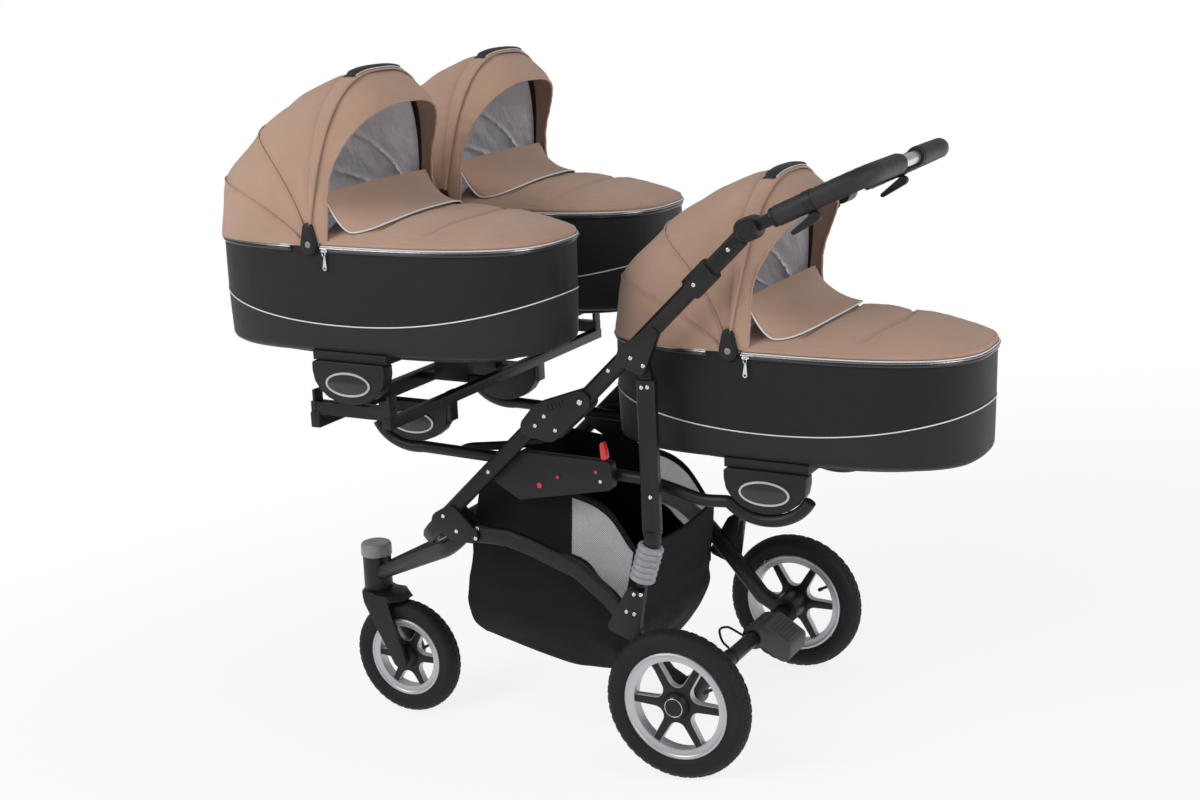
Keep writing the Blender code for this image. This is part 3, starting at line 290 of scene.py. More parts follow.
taupe = (0.445, 0.287, 0.209)
finishes = {
    "hood": cloth("taupeCloth", taupe, 0.0016, 0.74, 0.20, 0.30),
    "cover": cloth("coatedCover", (0.0115, 0.0108, 0.0112), 0.0013, 0.46, 0.03, 0.12),
    "lowerCover": cloth("coatedCoverLow", (0.0200, 0.0195, 0.0205), 0.0013, 0.48, 0.03, 0.10),
    "lining": makeLining(),
    "leather": makeLeather(),
    "basket": cloth("basketCloth", (0.0055, 0.0055, 0.0062), 0.0015, 0.80, 0.02, 0.5),
    "net": makeWindowNet(),
    "coat": smooth("powderCoat", (0.0060, 0.0060, 0.0066), 0.40, 2600.0, 0.30,
                   specularIORLevel=0.36),
    "plastic": smooth("blackMoulding", (0.0072, 0.0072, 0.0077), 0.46, 1500.0, 0.35,
                      specularIORLevel=0.34),
    "gloss": smooth("blackGloss", (0.012, 0.013, 0.017), 0.26, 900.0, 0.06, specularIORLevel=0.6),
    "grey": smooth("greyMoulding", (0.215, 0.220, 0.232), 0.42, 1200.0, 0.2),
    "pedal": smooth("pedalRubber", (0.060, 0.056, 0.060), 0.62, 900.0, 0.5),
    "red": smooth("redMoulding", (0.62, 0.020, 0.028), 0.34, 1200.0, 0.12, coatWeight=0.2),
    "silver": smooth("silverPaint", (0.50, 0.51, 0.53), 0.34, 1400.0, 0.12, metallic=0.55),
    "steel": smooth("brightSteel", (0.66, 0.66, 0.68), 0.24, 800.0, 0.05, metallic=1.0),
    "bare": smooth("bareTube", (0.70, 0.68, 0.70), 0.30, 1600.0, 0.10, metallic=0.9),
    "piping": smooth("palePiping", (0.66, 0.66, 0.68), 0.45, 900.0, 0.3),
    "bellows": makeBellows(),
    "rubber": makeRubber(),
}
print("finishes:", len(finishes))


# Meshes

def linked(name, data):
    made = bpy.data.objects.new(name, data)
    bpy.context.scene.collection.objects.link(made)
    return made


def piece(name, bm, *kinds, place=chassis, sharp=None):
    bmesh.ops.transform(bm, matrix=place, verts=bm.verts)
    mesh = bpy.data.meshes.new(name)
    bm.to_mesh(mesh)
    bm.free()
    for kind in kinds:
        mesh.materials.append(finishes[kind].material)
    mesh.shade_smooth()
    if sharp:
        mesh.set_sharp_from_angle(angle=math.radians(sharp))
    return linked(name, mesh)


def loft(bm, rings, wrap=False, caps=True, material=None):
    # material(row) gives the slot of the faces between that ring and the next
    rows = [[bm.verts.new(point) for point in ring] for ring in rings]
    count = len(rings[0])
    made = []
    for i in range(len(rows) if wrap else len(rows) - 1):
        a = rows[i]
        b = rows[(i + 1) % len(rows)]
        for k in range(count):
            j = (k + 1) % count
            face = bm.faces.new((a[k], a[j], b[j], b[k]))
            face.material_index = material(i) if material else 0
            made.append(face)
    if caps and not wrap:
        for i, row in ((0, rows[0]), (len(rows) - 2, rows[-1])):
            middle = bm.verts.new(sum((v.co for v in row), Vector()) / count)
            for k in range(count):
                face = bm.faces.new((row[k], row[(k + 1) % count], middle))
                face.material_index = material(i) if material else 0
                made.append(face)
    bmesh.ops.recalc_face_normals(bm, faces=made)
    return bm


def sheetShell(bm, rows, thickness, material=None, ring=False):
    # a cloth of that thickness under the given rows of points, closed all round
    last = len(rows) - 1
    count = len(rows[0])
    under = []
    for i in range(last + 1):
        line = []
        for k in range(count):
            left = rows[i][(k - 1) % count if ring else max(k - 1, 0)]
            right = rows[i][(k + 1) % count if ring else min(k + 1, count - 1)]
            along = Vector(rows[min(i + 1, last)][k]) - Vector(rows[max(i - 1, 0)][k])
            normal = (Vector(right) - Vector(left)).cross(along)
            line.append(Vector(rows[i][k]) - normal.normalized() * thickness)
        under.append(line)
    upper = [[bm.verts.new(p) for p in row] for row in rows]
    lower = [[bm.verts.new(p) for p in row] for row in under]
    made = []
    spans = count if ring else count - 1
    for i in range(last):
        for k in range(spans):
            j = (k + 1) % count
            top = bm.faces.new((upper[i][k], upper[i][j], upper[i + 1][j], upper[i + 1][k]))
            low = bm.faces.new((lower[i][k], lower[i + 1][k], lower[i + 1][j], lower[i][j]))
            if material:
                top.material_index, low.material_index = material(i, k)
            made += [top, low]
    for i in (0, last):
        for k in range(spans):
            j = (k + 1) % count
            made.append(bm.faces.new((upper[i][k], upper[i][j], lower[i][j], lower[i][k])))
    if not ring:
        for k in (0, count - 1):
            for i in range(last):
                made.append(bm.faces.new((upper[i][k], upper[i + 1][k], lower[i + 1][k],
                                          lower[i][k])))
    bmesh.ops.recalc_face_normals(bm, faces=made)
    return bm


def sweep(bm, points, section, up, closed=False):
    # section(share along the path) gives the outline as (across, up)
    points = [Vector(p) for p in points]
    count = len(points)
    rings = []
    for i, point in enumerate(points):
        before = points[i - 1] if i or closed else point
        after = points[(i + 1) % count] if i + 1 < count or closed else point
        along = (after - before).normalized()
        across = along.cross(Vector(up)).normalized()
        rise = across.cross(along)
        outline = section(i / max(count - 1, 1))
        rings.append([point + across * a + rise * b for a, b in outline])
    return loft(bm, rings, wrap=closed)


def circle(radius, sides):
    turns = [2 * math.pi * k / sides for k in range(sides)]
    return [(radius * math.cos(t), radius * math.sin(t)) for t in turns]


def cord(bm, points, radius, sides, up=(0, 0, 1), closed=False):
    return sweep(bm, points, lambda share: circle(radius, sides), up, closed)


def turned(bm, profile, steps, ring=False):
    # (radius, height) points about the X axis
    rings = []
    for k in range(steps):
        t = 2 * math.pi * k / steps
        rings.append([(h, r * math.cos(t), r * math.sin(t)) for r, h in profile])
    rows = [[bm.verts.new(p) for p in line] for line in rings]
    made = []
    spans = len(profile) if ring else len(profile) - 1
    for k in range(steps):
        a = rows[k]
        b = rows[(k + 1) % steps]
        for i in range(spans):
            j = (i + 1) % len(profile)
            made.append(bm.faces.new((a[i], a[j], b[j], b[i])))
    if not ring:
        for i in (0, len(profile) - 1):
            made.append(bm.faces.new([row[i] for row in rows]))
    bmesh.ops.recalc_face_normals(bm, faces=made)
    return bm


def curved(points, steps, closed=False):
    # a smooth line through the points
    count = len(points)
    points = [Vector(p) for p in points]
    line = []
    for i in range(count if closed else count - 1):
        def at(k):
            return points[k % count] if closed else points[min(max(k, 0), count - 1)]
        p0, p1, p2, p3 = at(i - 1), at(i), at(i + 1), at(i + 2)
        for step in range(steps):
            t = step / steps
            line.append(0.5 * (2 * p1 + (p2 - p0) * t + (2 * p0 - 5 * p1 + 4 * p2 - p3) * t ** 2
                               + (3 * p1 - p0 - 3 * p2 + p3) * t ** 3))
    if not closed:
        line.append(points[-1])
    return line


def rounded(points, radius, steps):
    # the path with each inner corner turned into a curve
    points = [Vector(p) for p in points]
    path = [points[0]]
    for before, corner, after in zip(points, points[1:], points[2:]):
        reach = min(radius, (corner - before).length * 0.49, (after - corner).length * 0.49)
        start = corner + (before - corner).normalized() * reach
        end = corner + (after - corner).normalized() * reach
        for k in range(steps + 1):
            t = k / steps
            path.append(start * (1 - t) ** 2 + corner * 2 * t * (1 - t) + end * t * t)
    path.append(points[-1])
    return path


def spaced(line, step):
    # the path without the points that crowd the one before
    kept = [line[0]]
    for p in line[1:]:
        if (p - kept[-1]).length > step:
            kept.append(p)
    return kept


def evenly(line, step):
    # the same path in nearly equal steps
    kept = [line[0]]
    for a, b in zip(line, line[1:]):
        count = max(1, round((b - a).length / step))
        kept += [a.lerp(b, k / count) for k in range(1, count + 1)]
    return spaced(kept[:-1], step * 0.6) + [kept[-1]]


def plate(bm, outlines, x0, x1, edge):
    # a flat plate with soft edges: outlines are (y, z), and those inside the first are holes
    curve = bpy.data.curves.new("plate", "CURVE")
    curve.dimensions = "2D"
    curve.fill_mode = "BOTH"
    curve.extrude = abs(x1 - x0) / 2 - edge
    curve.bevel_depth = edge
    curve.bevel_resolution = 1
    curve.offset = -edge
    for outline in outlines:
        spline = curve.splines.new("POLY")
        spline.points.add(len(outline) - 1)
        for point, (y, z) in zip(spline.points, outline):
            point.co = (y, z, 0, 1)
        spline.use_cyclic_u = True
    helper = bpy.data.objects.new("plate", curve)
    mesh = bpy.data.meshes.new_from_object(helper)
    part = bmesh.new()
    part.from_mesh(mesh)
    bmesh.ops.remove_doubles(part, verts=part.verts, dist=1e-6)
    bmesh.ops.recalc_face_normals(part, faces=part.faces)
    turn = Matrix(((0, 0, 1, (x0 + x1) / 2), (1, 0, 0, 0), (0, 1, 0, 0), (0, 0, 0, 1)))
    bmesh.ops.transform(part, matrix=turn, verts=part.verts)
    joinInto(bm, part)
    bpy.data.objects.remove(helper)
    bpy.data.curves.remove(curve)
    bpy.data.meshes.remove(mesh)
    return bm


def joinInto(bm, part):
    mesh = bpy.data.meshes.new("part")
    part.to_mesh(mesh)
    part.free()
    bm.from_mesh(mesh)
    bpy.data.meshes.remove(mesh)


def hull(discs, steps=28):
    # the outline pulled tight round discs, each (y, z, radius)
    points = []
    for y, z, radius in discs:
        for k in range(steps):
            t = 2 * math.pi * k / steps
            points.append((round(y + radius * math.cos(t), 6), round(z + radius * math.sin(t), 6)))
    points = sorted(set(points))

    def half(chain):
        line = []
        for p in chain:
            while len(line) > 1:
                (ay, az), (by, bz) = line[-2:]
                if (by - ay) * (p[1] - az) - (bz - az) * (p[0] - ay) > 1e-9:
                    break
                line.pop()
            line.append(p)
        return line[:-1]

    return half(points) + half(points[::-1])


def ripple(point, size, seed):
    return noise.noise(Vector(point) / size + Vector((seed, seed * 1.7, -seed)))


# in degrees: what counts as flat, what is crisp enough to soften, and what stays sharp
softening = {"flat": 2, "crisp": 33, "sharp": 38}


def coated(name, kind, body, edge):
    # a copy of a CAD node with its edges softened
    bm = bmesh.new()
    bm.from_mesh(frame["nodes"][name].data)
    bmesh.ops.remove_doubles(bm, verts=bm.verts, dist=1e-5)
    flat = math.radians(softening["flat"])
    bmesh.ops.dissolve_limit(bm, angle_limit=flat, verts=bm.verts, edges=bm.edges)
    least = math.radians(softening["crisp"])
    crisp = [e for e in bm.edges if len(e.link_faces) == 2 and e.calc_face_angle(0) > least]
    bmesh.ops.bevel(bm, geom=crisp, offset=edge, segments=2, profile=0.6, affect="EDGES",
                    clamp_overlap=True)
    made = piece(f"{name}_coated", bm, kind, place=upright, sharp=softening["sharp"])
    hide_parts(name)
    return carry(made, body)


def carry(made, body):
    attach(made, body)
    return made


# Geometry Nodes for what repeats

def growth(name, inputs):
    tree = bpy.data.node_groups.new(name, "GeometryNodeTree")
    ids = {}
    tree.interface.new_socket("Geometry", in_out="INPUT", socket_type="NodeSocketGeometry")
    for label, kind in inputs.items():
        ids[label] = tree.interface.new_socket(label, in_out="INPUT", socket_type=kind).identifier
    tree.interface.new_socket("Geometry", in_out="OUTPUT", socket_type="NodeSocketGeometry")
    graph = Graph(tree)
    start = tree.nodes.new("NodeGroupInput")
    graph.ids = ids
    graph.given = {out.name: Wire(graph, out) for out in start.outputs if out.name}
    return graph


def closeGrowth(graph, instances):
    real = graph.node("GeometryNodeRealizeInstances", inputs={"Geometry": instances})
    done = graph.node("GeometryNodeSetMaterial",
                      inputs={"Geometry": real, "Material": graph.given["Finish"]})
    end = graph.tree.nodes.new("NodeGroupOutput")
    graph.plug(end.inputs["Geometry"], done)
    return graph


def makeRowTree():
    # one part after another along a line, its X along the line and its Z up
    graph = growth("rowAlongLine", {"Part": "NodeSocketObject", "Spacing": "NodeSocketFloat",
                                    "Up": "NodeSocketVector", "Finish": "NodeSocketMaterial"})
    given = graph.given
    line = graph.node("GeometryNodeMeshToCurve", inputs={"Mesh": given["Geometry"]})
    line = graph.node("GeometryNodeResampleCurve", {"mode": "LENGTH"},
                      {"Curve": line, "Length": given["Spacing"]})
    tangent = graph.node("GeometryNodeInputTangent")
    turn = graph.node("FunctionNodeAlignRotationToVector", {"axis": "X"}, {"Vector": tangent})
    turn = graph.node("FunctionNodeAlignRotationToVector", {"axis": "Z", "pivot_axis": "X"},
                      {"Rotation": turn, "Vector": given["Up"]})
    part = graph.node("GeometryNodeObjectInfo", None, {"Object": given["Part"]}, "Geometry")
    return closeGrowth(graph, graph.node("GeometryNodeInstanceOnPoints", None,
                                         {"Points": line, "Instance": part, "Rotation": turn}))


def makeStudTree():
    # one part at each point, its Z along the point's facing
    graph = growth("studsAtPoints", {"Part": "NodeSocketObject", "Size": "NodeSocketFloat",
                                     "Finish": "NodeSocketMaterial"})
    given = graph.given
    facing = graph.node("GeometryNodeInputNamedAttribute", {"data_type": "FLOAT_VECTOR"},
                        {"Name": "facing"})
    turn = graph.node("FunctionNodeAlignRotationToVector", {"axis": "Z"}, {"Vector": facing})
    part = graph.node("GeometryNodeObjectInfo", None, {"Object": given["Part"]}, "Geometry")
    return closeGrowth(graph, graph.node("GeometryNodeInstanceOnPoints", None,
                                         {"Points": given["Geometry"], "Instance": part,
                                          "Rotation": turn,
                                          "Scale": given["Size"]}))


def makeWheelTree():
    # the given mesh repeated round an axle that lies along Z
    graph = growth("repeatRoundAxle", {"Count": "NodeSocketInt", "Finish": "NodeSocketMaterial"})
    given = graph.given
    ring = graph.node("GeometryNodeMeshCircle", None, {"Vertices": given["Count"], "Radius": 1.0})
    place = graph.node("GeometryNodeInputPosition")
    turn = graph.node("FunctionNodeAlignRotationToVector", {"axis": "X", "pivot_axis": "Z"},
                      {"Vector": place})
    there = graph.node("GeometryNodeInstanceOnPoints", None,
                       {"Points": ring, "Instance": given["Geometry"], "Rotation": turn})
    home = graph.node("ShaderNodeVectorMath", {"operation": "SCALE"}, {0: place, "Scale": -1.0})
    there = graph.node("GeometryNodeTranslateInstances", None,
                       {"Instances": there, "Translation": home, "Local Space": False})
    return closeGrowth(graph, there)


trees = {"row": makeRowTree(), "studs": makeStudTree(), "wheel": makeWheelTree()}
grownSharp = 40


def plainMesh(source):
    # the source's mesh with its modifiers worked in
    current = bpy.context.evaluated_depsgraph_get()
    return bpy.data.meshes.new_from_object(source.evaluated_get(current), depsgraph=current)


def grow(name, source, tree, values, kind, place):
    # a plain mesh of what the tree makes from the source, which is used up
    graph = trees[tree]
    change = source.modifiers.new("grow", "NODES")
    change.node_group = graph.tree
    for label, value in values.items():
        change[graph.ids[label]] = value
    change[graph.ids["Finish"]] = finishes[kind].material
    mesh = plainMesh(source)
    source.modifiers.remove(change)
    bpy.data.objects.remove(source)
    mesh.transform(place)
    mesh.materials.clear()
    mesh.materials.append(finishes[kind].material)
    mesh.shade_smooth()
    mesh.set_sharp_from_angle(angle=math.radians(grownSharp))
    mesh.name = name
    return linked(name, mesh)


def lineObject(lines):
    bm = bmesh.new()
    for line, closed in lines:
        verts = [bm.verts.new(p) for p in line]
        for a, b in zip(verts, verts[1:]):
            bm.edges.new((a, b))
        if closed:
            bm.edges.new((verts[-1], verts[0]))
    return piece("line", bm, place=upright)


def partObject(bm):
    part = piece("part", bm, place=upright)
    part.hide_render = True
    return part


def barsAlong(name, lines, part, spacing, kind, up=(0, 0, 1), place=upright):
    values = {"Part": part, "Spacing": spacing, "Up": up}
    return grow(name, lineObject(lines), "row", values, kind, place)


def bar(length, width, height, taper=0.7):
    # a small bar with a narrower top
    bm = bmesh.new()
    rings = []
    for scale, z in ((1.0, 0.0), (1.0, height * 0.5), (taper, height)):
        a = length / 2 * scale
        b = width / 2 * scale
        rings.append([(a, b, z), (-a, b, z), (-a, -b, z), (a, -b, z)])
    return loft(bm, rings)


def studs(name, places, part, kind, size):
    # places are (point, facing) on the chassis
    bm = bmesh.new()
    for point, facing in places:
        bm.verts.new(point)
    helper = piece("studs", bm, place=upright)
    facings = helper.data.attributes.new("facing", "FLOAT_VECTOR", "POINT")
    facings.data.foreach_set("vector", [value for point, facing in places for value in facing])
    return grow(name, helper, "studs", {"Part": part, "Size": size}, kind, chassis)


# Wheels

wheelSizes = {
    "tyreHeight": 0.0405,
    "tyreWidth": 0.046,
    "rimGap": 0.0003,
    "rimWidth": 0.036,
    "rimDepth": 0.019,
    # the rim's profile: (drop from the outer edge, share of half its width),
    # then (rise from the inner edge, share)
    "rimOuter": ((0.0, 0.80), (0.0008, 0.94), (0.003, 1.0), (0.0052, 0.985), (0.0066, 0.87),
                 (0.0080, 0.83), (0.0135, 0.745)),
    "rimInner": ((0.0018, 0.715), (0.0004, 0.68), (0.0, 0.60)),
    "spokes": 6,
    "spokeHalf": 0.0095,
    "spokeFillet": 0.0175,
    "spokeThickness": 0.015,
    "spokeTip": 0.82,
    "spokeCorner": 0.002,
    "spokeReach": 0.004,
    "faceReach": 0.0065,
    "faceSpan": (-0.0004, 0.0012),
    "paleEdge": 0.0013,
    "hubRadius": 0.027,
    "hubHalf": 0.0225,
    "capRadius": 0.0165,
    "treadBlocks": 44,
    "treadDepth": 0.0016,
    "treadRoot": 0.001,
    # each row of blocks: its shift in pitches, its two sides, and how far each side drops
    "treadRows": ((0.0, -0.0055, 0.0055, 0.0, 0.0), (0.5, 0.0072, 0.0150, 0.0004, 0.0032),
                  (0.5, -0.0150, -0.0072, 0.0032, 0.0004)),
    "blockHalf": 0.34,
    "blockSkew": 0.12,
    "blockTaper": 0.12,
    "valveTurn": 0.52,
    # from where to where below the rim's inner edge
    "valveStem": (-0.002, 0.012, 0.026),
    "valveStemRadius": 0.0032,
    "valveCap": (0.020, 0.0275),
    "valveCapRadius": 0.0040,
}


def starOutline(slimmer, end):
    # spokes with rounded hollows between them, squared off at the end radius
    sizes = wheelSizes
    half = sizes["spokeHalf"] - slimmer
    fillet = sizes["spokeFillet"] + slimmer
    corner = sizes["spokeCorner"]
    outline = []
    step = 2 * math.pi / sizes["spokes"]
    for k in range(sizes["spokes"]):
        turn = step * k
        c, s = math.cos(turn), math.sin(turn)
        wide = half * sizes["spokeTip"]
        arm = [(end - corner, -wide), (end, corner - wide), (end, wide - corner),
               (end - corner, wide)]
        outline += [(a * c - b * s, a * s + b * c) for a, b in arm]
        middle = turn + step / 2
        reach = (half + fillet) / math.sin(step / 2)
        cy, cz = reach * math.cos(middle), reach * math.sin(middle)
        spread = math.pi / 2 - step / 2
        for i in range(9):
            a = middle + math.pi + spread * (1 - 2 * i / 8)
            outline.append((cy + fillet * math.cos(a), cz + fillet * math.sin(a)))
    return outline


def tyreProfile(radius):
    sizes = wheelSizes
    half = sizes["tyreWidth"] / 2
    inner = radius - sizes["tyreHeight"]
    crown = radius - sizes["treadDepth"]
    side = [(crown, 0.0), (crown, 0.006), (crown - 0.0025, half * 0.60),
            (crown - 0.0085, half * 0.90), (radius - 0.0155, half * 0.985),
            (radius - 0.0165, half * 1.01), (radius - 0.0185, half), (radius - 0.024, half * 0.985),
            (inner + 0.0095, half * 0.88), (inner + 0.008, half * 0.875),
            (inner + 0.0035, half * 0.74), (inner + 0.0004, half * 0.66)]
    line = [(p.x, p.y) for p in curved([(r, h, 0) for r, h in side], 3)]
    bead = line[-1][0]
    return line + [(bead, 0.010), (bead, -0.010)] + [(r, -h) for r, h in line[:0:-1]]


def makeWheel(name, body, radius, capped):
    sizes = wheelSizes
    place = chassis @ Matrix.Translation(jointPlace(f"{body}_spin"))
    inner = radius - sizes["tyreHeight"]
    bm = bmesh.new()
    turned(bm, tyreProfile(radius), 80, ring=True)
    tyre = piece(f"{name}_rubber_tyre", bm, "rubber", place=place, sharp=50)
    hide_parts(f"{body}_tyre")
    carry(tyre, body)

    # one pitch of the tread, drawn where it lies on the crown
    bm = bmesh.new()
    pitch = 2 * math.pi * radius / sizes["treadBlocks"]
    low = radius - sizes["treadDepth"] - sizes["treadRoot"]
    for shift, h0, h1, drop0, drop1 in sizes["treadRows"]:
        y0 = pitch * (shift - sizes["blockHalf"])
        y1 = pitch * (shift + sizes["blockHalf"])
        skew = pitch * sizes["blockSkew"] if shift == 0.0 else 0.0
        foot = [(low - drop0, y0 - skew, h0), (low - drop0, y1 - skew, h0),
                (low - drop1, y1 + skew, h1), (low - drop1, y0 + skew, h1)]
        middle = Vector((0, (y0 + y1) / 2, (h0 + h1) / 2))
        top = []
        for point, drop in zip(foot, (drop0, drop0, drop1, drop1)):
            slim = Vector((0, *point[1:])).lerp(middle, sizes["blockTaper"])
            bend = radius - math.sqrt(radius ** 2 - point[1] * point[1])
            top.append((radius - drop - bend - 0.0001, slim.y, slim.z))
        loft(bm, [foot, top])
    helper = piece("treadPitch", bm, place=upright)
    turnAxle = place @ Matrix(((0, 0, 1, 0), (1, 0, 0, 0), (0, 1, 0, 0), (0, 0, 0, 1)))
    tread = grow(f"{name}_tread", helper, "wheel", {"Count": sizes["treadBlocks"]}, "rubber",
                 turnAxle)
    carry(tread, body)

    outer = inner - sizes["rimGap"]
    lip = sizes["rimWidth"] / 2
    low = outer - sizes["rimDepth"]
    right = [(outer - drop, lip * share) for drop, share in sizes["rimOuter"]]
    right += [(low + rise, lip * share) for rise, share in sizes["rimInner"]]
    bm = bmesh.new()
    turned(bm, right + [(r, -h) for r, h in right[::-1]], 80, ring=True)
    thick = sizes["spokeThickness"] / 2
    star = starOutline(0.0, low + sizes["spokeReach"])
    plate(bm, [star], -thick, thick, 0.0008)
    rim = piece(f"{name}_silver_rim", bm, "silver", place=place, sharp=32)
    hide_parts(f"{body}_rim")
    carry(rim, body)

    bm = bmesh.new()
    face = starOutline(sizes["paleEdge"], low + sizes["faceReach"])
    for side in (1, -1):
        plate(bm, [face], *(side * (thick + out) for out in sizes["faceSpan"]), 0.0005)
    hub = sizes["hubRadius"]
    half = sizes["hubHalf"]
    barrel = [(hub * 0.74, -half), (hub * 0.80, -half + 0.001), (hub * 0.97, -half * 0.56),
              (hub, -half * 0.45), (hub, half * 0.45), (hub * 0.97, half * 0.56),
              (hub * 0.80, half - 0.001), (hub * 0.74, half)]
    turned(bm, barrel, 40)
    outward = -1 if body.startswith("right") else 1
    cap = sizes["capRadius"]
    if capped:
        ends = [(cap, half - 0.002), (cap, half + 0.0018), (cap - 0.0012, half + 0.0030),
                (cap * 0.4, half + 0.0036)]
        turned(bm, [(r, h * outward) for r, h in ends], 40)
    stem = Vector((0, math.cos(sizes["valveTurn"]), math.sin(sizes["valveTurn"])))
    for part in ("valveStem", "valveCap"):
        line = [stem * (low - below) for below in sizes[part]]
        cord(bm, line, sizes[f"{part}Radius"], 12, (1, 0, 0))
    faces = piece(f"{name}_spoke_faces", bm, "plastic", place=place, sharp=40)
    carry(faces, body)
    if capped:
        bm = bmesh.new()
        cord(bm, [((half + 0.0010) * outward, cap * 1.09 * b, cap * 1.09 * a)
                  for a, b in circle(1.0, 48)],
             0.0010, 8, (1, 0, 0), closed=True)
        carry(piece(f"{name}_hub_line", bm, "steel", place=place), body)


for name, body in (("left_rear", "left_wheel"), ("right_rear", "right_wheel"),
                   ("front", "front_wheel")):
    hub = Vector(joints[f"{body}_spin"]["pos_m"])
    makeWheel(name, body, hub.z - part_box(f"{body}_tyre")[0].z, name != "front")
print("wheels: tyres, treads, rims and spokes")


# Carrycots. One is drawn round the middle of its rim, and the others are copies of it

cot = {
    "length": 0.740,
    "width": 0.382,
    "squareness": 2.8,
    "depthHead": 0.213,
    "depthFoot": 0.207,
    "height": 0.222,
    "wall": 0.012,
    "cavityDepth": 0.165,
    # the inside from the floor up to the rim: (how many walls' thickness in from the outside,
    # share of the cavity's depth, rise)
    "inside": ((2.2, 1.0, 0.0), (1.7, 1.0, 0.010), (1.4, 1.0, 0.03), (1.1, 0.5, 0.0),
               (1.0, 0.0, -0.006), (0.9, 0.0, -0.001)),
    "rimInset": 0.002,
    "hingeBack": 0.0686,
    # the piping's line and the tight lower edge, as shares of the depth
    "pipingHead": 0.48,
    "pipingMiddle": 0.73,
    "pipingFoot": 0.49,
    "lowerEdge": 0.93,
    "pipingRadius": 0.0013,
    # how far the side leans in, and the lower edge after it
    "flare": 0.0030,
    "turnIn": 0.0125,
    "turnPower": 2.4,
    "slack": 0.0016,
    "slackSize": 0.07,
    "slackOut": -0.0012,
    "rowsAbove": 9,
    "rowsBelow": 12,
    "steps": 96,
}

base = {
    "halfWidth": 0.145,
    "halfLength": 0.305,
    # (how far in from the sides, height) from the floor down
    "profile": ((0.004, -0.169), (0.0, -0.190), (0.0, -0.2135), (0.0015, -0.2180), (0.006, -0.2212),
                (0.012, -0.222)),
    "footHalf": 0.085,
    "footInside": 0.120,
    "footOutside": 0.1872,
    "footTop": -0.2035,
}

# what runs round the rim: how far out it sits, how high, and its size
edging = {
    "rollRadius": 0.0042,
    "rollOut": -0.0004,
    "rollHeight": -0.0075,
    "pipingRadius": 0.0015,
    "pipingOut": 0.0022,
    "pipingHeight": 0.0010,
    "tooth": (0.0013, 0.0040, 0.0020),
    "toothPitch": 0.0024,
    "toothOut": 0.0034,
    "toothHeight": -0.0030,
    "padRadius": 0.0056,
    "padOut": -0.0046,
    "padHeight": 0.0058,
    "padWave": 0.0006,
    # the lines stop this far in front of the hinge and behind it
    "gapInFront": 0.026,
    "gapBehind": 0.047,
}


def oval(halfWidth, halfLength, t):
    power = 2 / cot["squareness"]
    c = math.cos(t)
    s = math.sin(t)
    across = math.copysign(halfWidth * abs(c) ** power, c)
    return across, math.copysign(halfLength * abs(s) ** power, s)


def ease(share):
    share = min(max(share, 0.0), 1.0)
    return share * share * (3 - 2 * share)


def tubDepth(y):
    return cot["depthFoot"] + (cot["depthHead"] - cot["depthFoot"]) * ease(-y / (cot["length"] / 2))


def pipingShare(y):
    along = y / (cot["length"] / 2)
    end = cot["pipingFoot"] if along > 0 else cot["pipingHead"]
    return cot["pipingMiddle"] + (end - cot["pipingMiddle"]) * along * along


def tubInset(share):
    turnIn = max(0.0, (share - cot["lowerEdge"]) / (1 - cot["lowerEdge"]))
    return cot["flare"] * share * share + cot["turnIn"] * turnIn ** cot["turnPower"]


def tubPoint(t, share, out=0.0):
    # a point of the cover's outside, at that share of its depth
    inset = tubInset(share) - out
    x, y = oval(cot["width"] / 2 - inset, cot["length"] / 2 - inset, t)
    wave = ripple((x, y, share * 0.06), cot["slackSize"], 3.0)
    slack = cot["slack"] * wave * math.sin(math.pi * min(share, 1.0))
    scale = 1 - max(slack, cot["slackOut"]) / (cot["width"] / 2)
    return Vector((x * scale, y * scale, -share * tubDepth(y)))


def pipingAt(t):
    # the share of the depth at which the piping crosses that turn
    return pipingShare(tubPoint(t, 0.6).y)


def ringTurns(count):
    return [2 * math.pi * (k + 0.5) / count for k in range(count)]


def makeTub():
    turns = ringTurns(cot["steps"])
    above = cot["rowsAbove"]
    below = cot["rowsBelow"]
    starts = [pipingAt(t) for t in turns]
    rings = []
    for i in range(above + 1):
        rings.append([tubPoint(t, start * i / above) for t, start in zip(turns, starts)])
    for i in range(1, below + 1):
        down = (i / below) ** 0.8
        rings.append([tubPoint(t, start + (1 - start) * down) for t, start in zip(turns, starts)])
    inside = []
    for walls, share, rise in cot["inside"]:
        inset = cot["wall"] * walls
        z = -cot["cavityDepth"] * share + rise
        inside.append([Vector((*oval(cot["width"] / 2 - inset, cot["length"] / 2 - inset, t), z))
                       for t in turns])
    inset = cot["rimInset"]
    rim = [Vector((*oval(cot["width"] / 2 - inset, cot["length"] / 2 - inset, t), 0.0))
           for t in turns]

    def kind(i):
        edge = len(inside) + 1
        return 2 if i < len(inside) else 0 if i < edge + above else 1

    return loft(bmesh.new(), inside + [rim] + rings, material=kind)


def makeTubBase():
    # the moulded base under the cover, with a foot at each side that clicks into a receiver
    bm = bmesh.new()
    rings = []
    for inset, z in base["profile"]:
        rings.append([Vector((*oval(base["halfWidth"] - inset, base["halfLength"] - inset, t), z))
                      for t in ringTurns(72)])
    loft(bm, rings)
    foot = base["footHalf"]
    outline = [(-foot, -cot["height"]), (foot, -cot["height"]), (foot, base["footTop"]),
               (-foot, base["footTop"])]
    for side in (1, -1):
        plate(bm, [outline], side * base["footInside"], side * base["footOutside"], 0.0014)
    return bm


